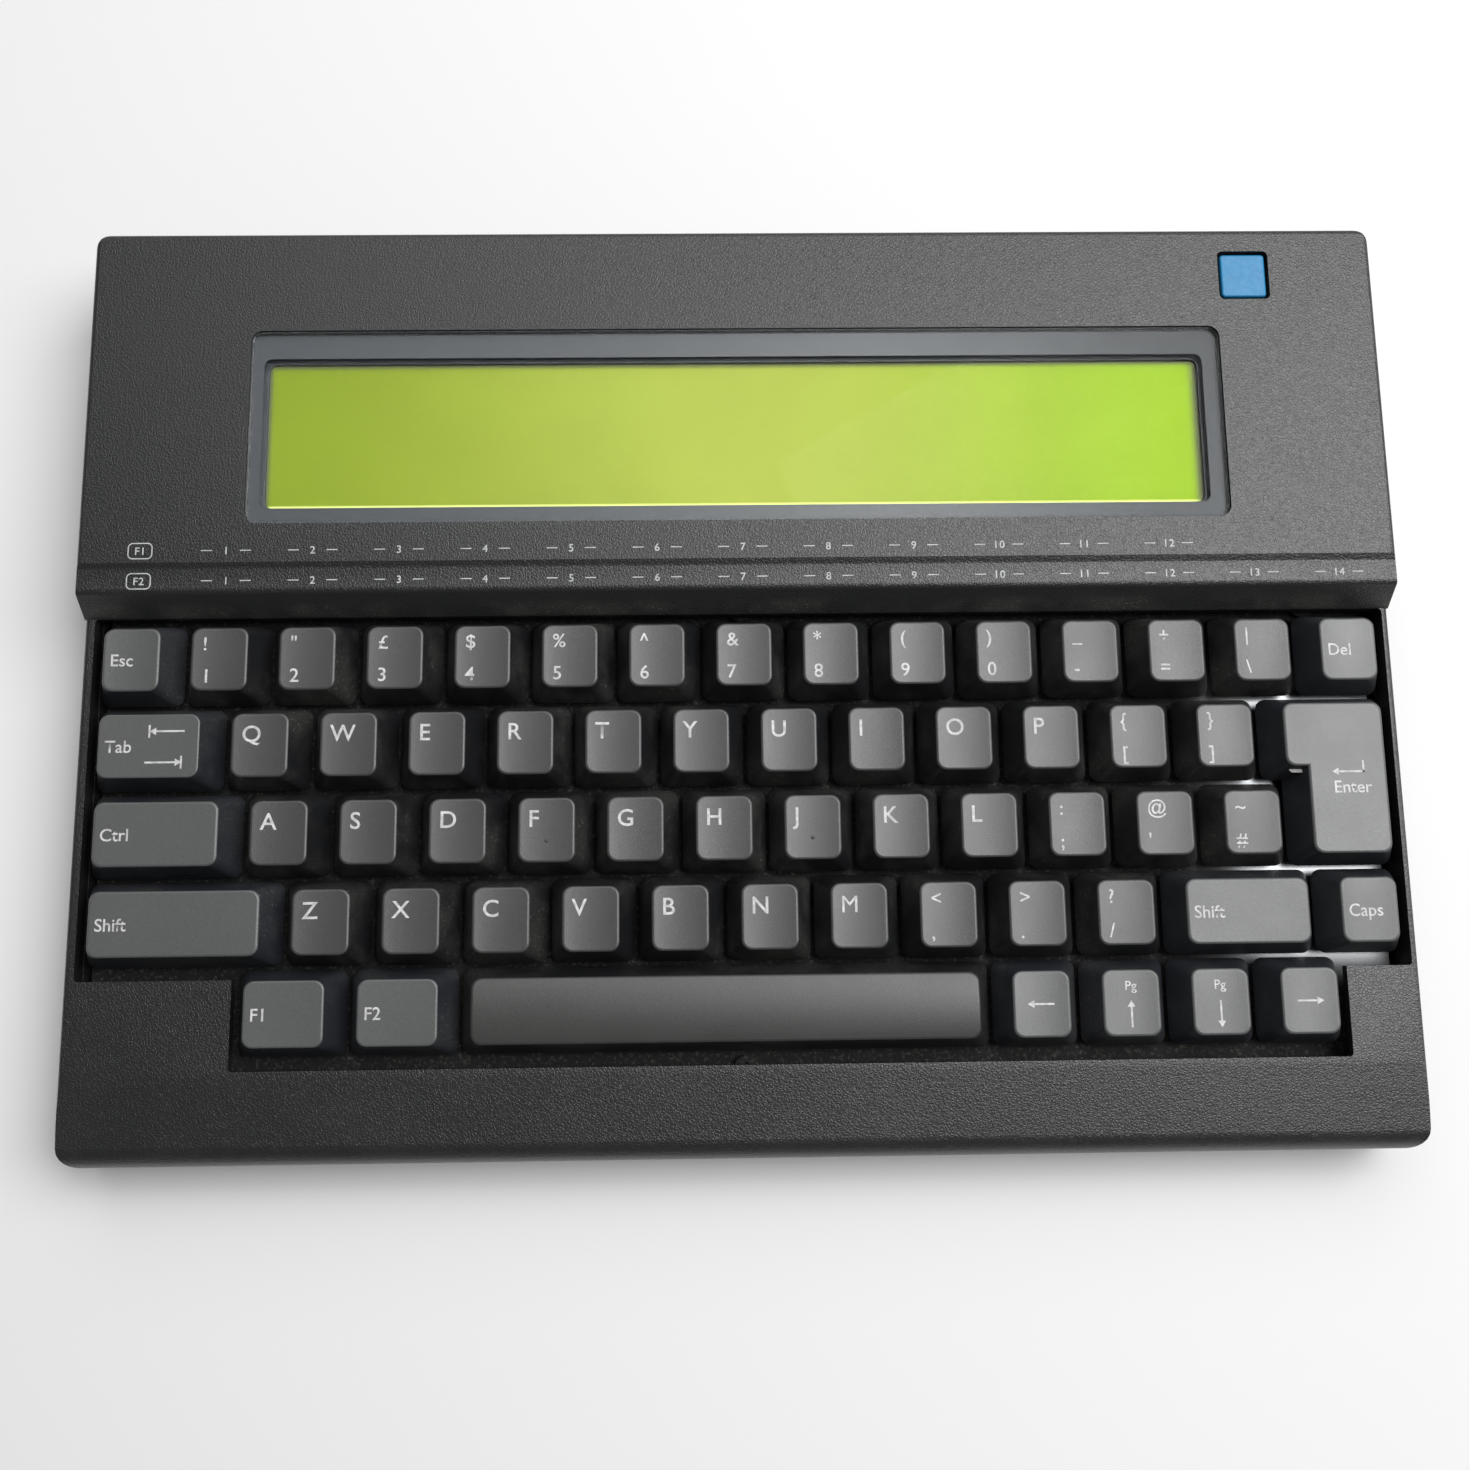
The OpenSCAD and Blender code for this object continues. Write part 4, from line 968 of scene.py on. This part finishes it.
def plate_finish():
    """Bare steel near Enter and Caps Lock, and everywhere else dark dust with painted shade down
    between the keys.
    """
    mat, tree, shader = brushed("key_plate_steel", linear(150, 152, 154), 0.32)
    steel = shader.inputs["Base Color"].links[0].from_socket
    to_right = ramp_along(tree, "X", 96 * MM, 118 * MM)
    bare = maths(tree, "MULTIPLY", to_right, ramp_along(tree, "Y", -70 * MM, -58 * MM))
    bare = maths(tree, "MULTIPLY", bare, ramp_along(tree, "Y", 6 * MM, -4 * MM))
    # Away from the bare strip, the plate gets dark dust and painted shade.
    join(tree, mix_color(tree, bare, dust_and_shade(tree), steel), shader.inputs["Base Color"])
    join(tree, bare, shader.inputs["Metallic"])
    join(tree, remap(tree, bare, 0.0, 1.0, 0.85, 0.3), shader.inputs["Roughness"])
    return mat


def board_finish(name, copper_side, z0, z1):
    """Solder mask on the board itself, dark parts above z1 and below z0."""
    mat, tree, shader = material(name, copper_side, 0.4)
    above = ramp_along(tree, "Z", z0 - 0.05 * MM, z0)
    inside = maths(tree, "MULTIPLY", above, ramp_along(tree, "Z", z1 + 0.08 * MM, z1 + 0.03 * MM))
    tracks = add(tree, "ShaderNodeTexBrick", {"Scale": 220.0, "Mortar Size": 0.08})
    place = add(tree, "ShaderNodeTexCoord")
    join(tree, place.outputs["Object"], tracks.inputs["Vector"])
    pale = tuple(min(c * 1.5, 1) for c in copper_side[:3]) + (1,)
    mask = mix_color(tree, remap(tree, tracks.outputs["Fac"], 0, 1, 0.0, 0.5), copper_side, pale)
    join(tree, mix_color(tree, inside, PART_BLACK, mask), shader.inputs["Base Color"])
    return mat


BOARD_T = 1.6 * MM
GREEN = linear(26, 84, 52)
BROWN = linear(150, 116, 62)
PART_BLACK = linear(24, 24, 26)
main_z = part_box("main_board")[0][2]
display_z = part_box("display_board")[1][2]
key_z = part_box("key_board")[1][2]
FINISHES = {
    "screws": screw_finish(),
    "rubber_feet": speckled("foot_rubber", linear(26, 26, 27), 0.15, 700.0, roughness=0.85),
    "display_board": board_finish("display_board_mask", GREEN, display_z - BOARD_T, display_z),
    "main_board": board_finish("main_board_mask", GREEN, main_z, main_z + BOARD_T),
    "key_board": board_finish("key_board_mask", BROWN, key_z - BOARD_T, key_z),
    "key_plate": plate_finish(),
    "switch_housings": speckled("switch_black", linear(17, 17, 18), 0.5, 1400.0, roughness=0.6),
    "space_bar_wire": brushed("spring_wire", linear(180, 181, 184), 0.3)[0],
    "power_switch": speckled("switch_phenolic", linear(30, 30, 32), 0.2, 600.0, roughness=0.5),
    "battery_cells": speckled("cell_sleeve", linear(176, 140, 58), 0.08, 60.0, roughness=0.35),
    "battery_contacts": brushed("nickel_strip", linear(190, 188, 180), 0.28)[0],
    "sockets": brushed("socket_shell", linear(168, 170, 174), 0.36)[0],
}
for node, mat in FINISHES.items():
    piece = frame["nodes"][node]
    piece.data.materials.clear()
    piece.data.materials.append(mat)
print(len(FINISHES), "CAD nodes finished")

# %% [markdown]
# The power button is a square of blue plastic with softened edges, and the contrast wheel a
# black thumb wheel. Both keep the CAD form with rounded edges.

# %% Button and wheel
button_mat = speckled("button_blue", linear(34, 132, 184), 0.06, 500.0, roughness=0.38)
refined("power_button", button_mat, 0.45 * MM, segments=4)
wheel_mat = speckled("wheel_black", linear(30, 30, 32), 0.12, 900.0, roughness=0.45)
refined("contrast_wheel", wheel_mat, 0.1 * MM)

# %% [markdown]
# The finished model should fill the same box as the CAD model. The last cell prints how far
# each corner of its box lies from the CAD model's.

scene_box = [list(corner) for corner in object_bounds()]
for cad_corner, scene_corner in zip(cad_box, scene_box):
    print("corner differs by", [round((b - a) / MM, 3) for a, b in zip(cad_corner, scene_corner)], "mm")
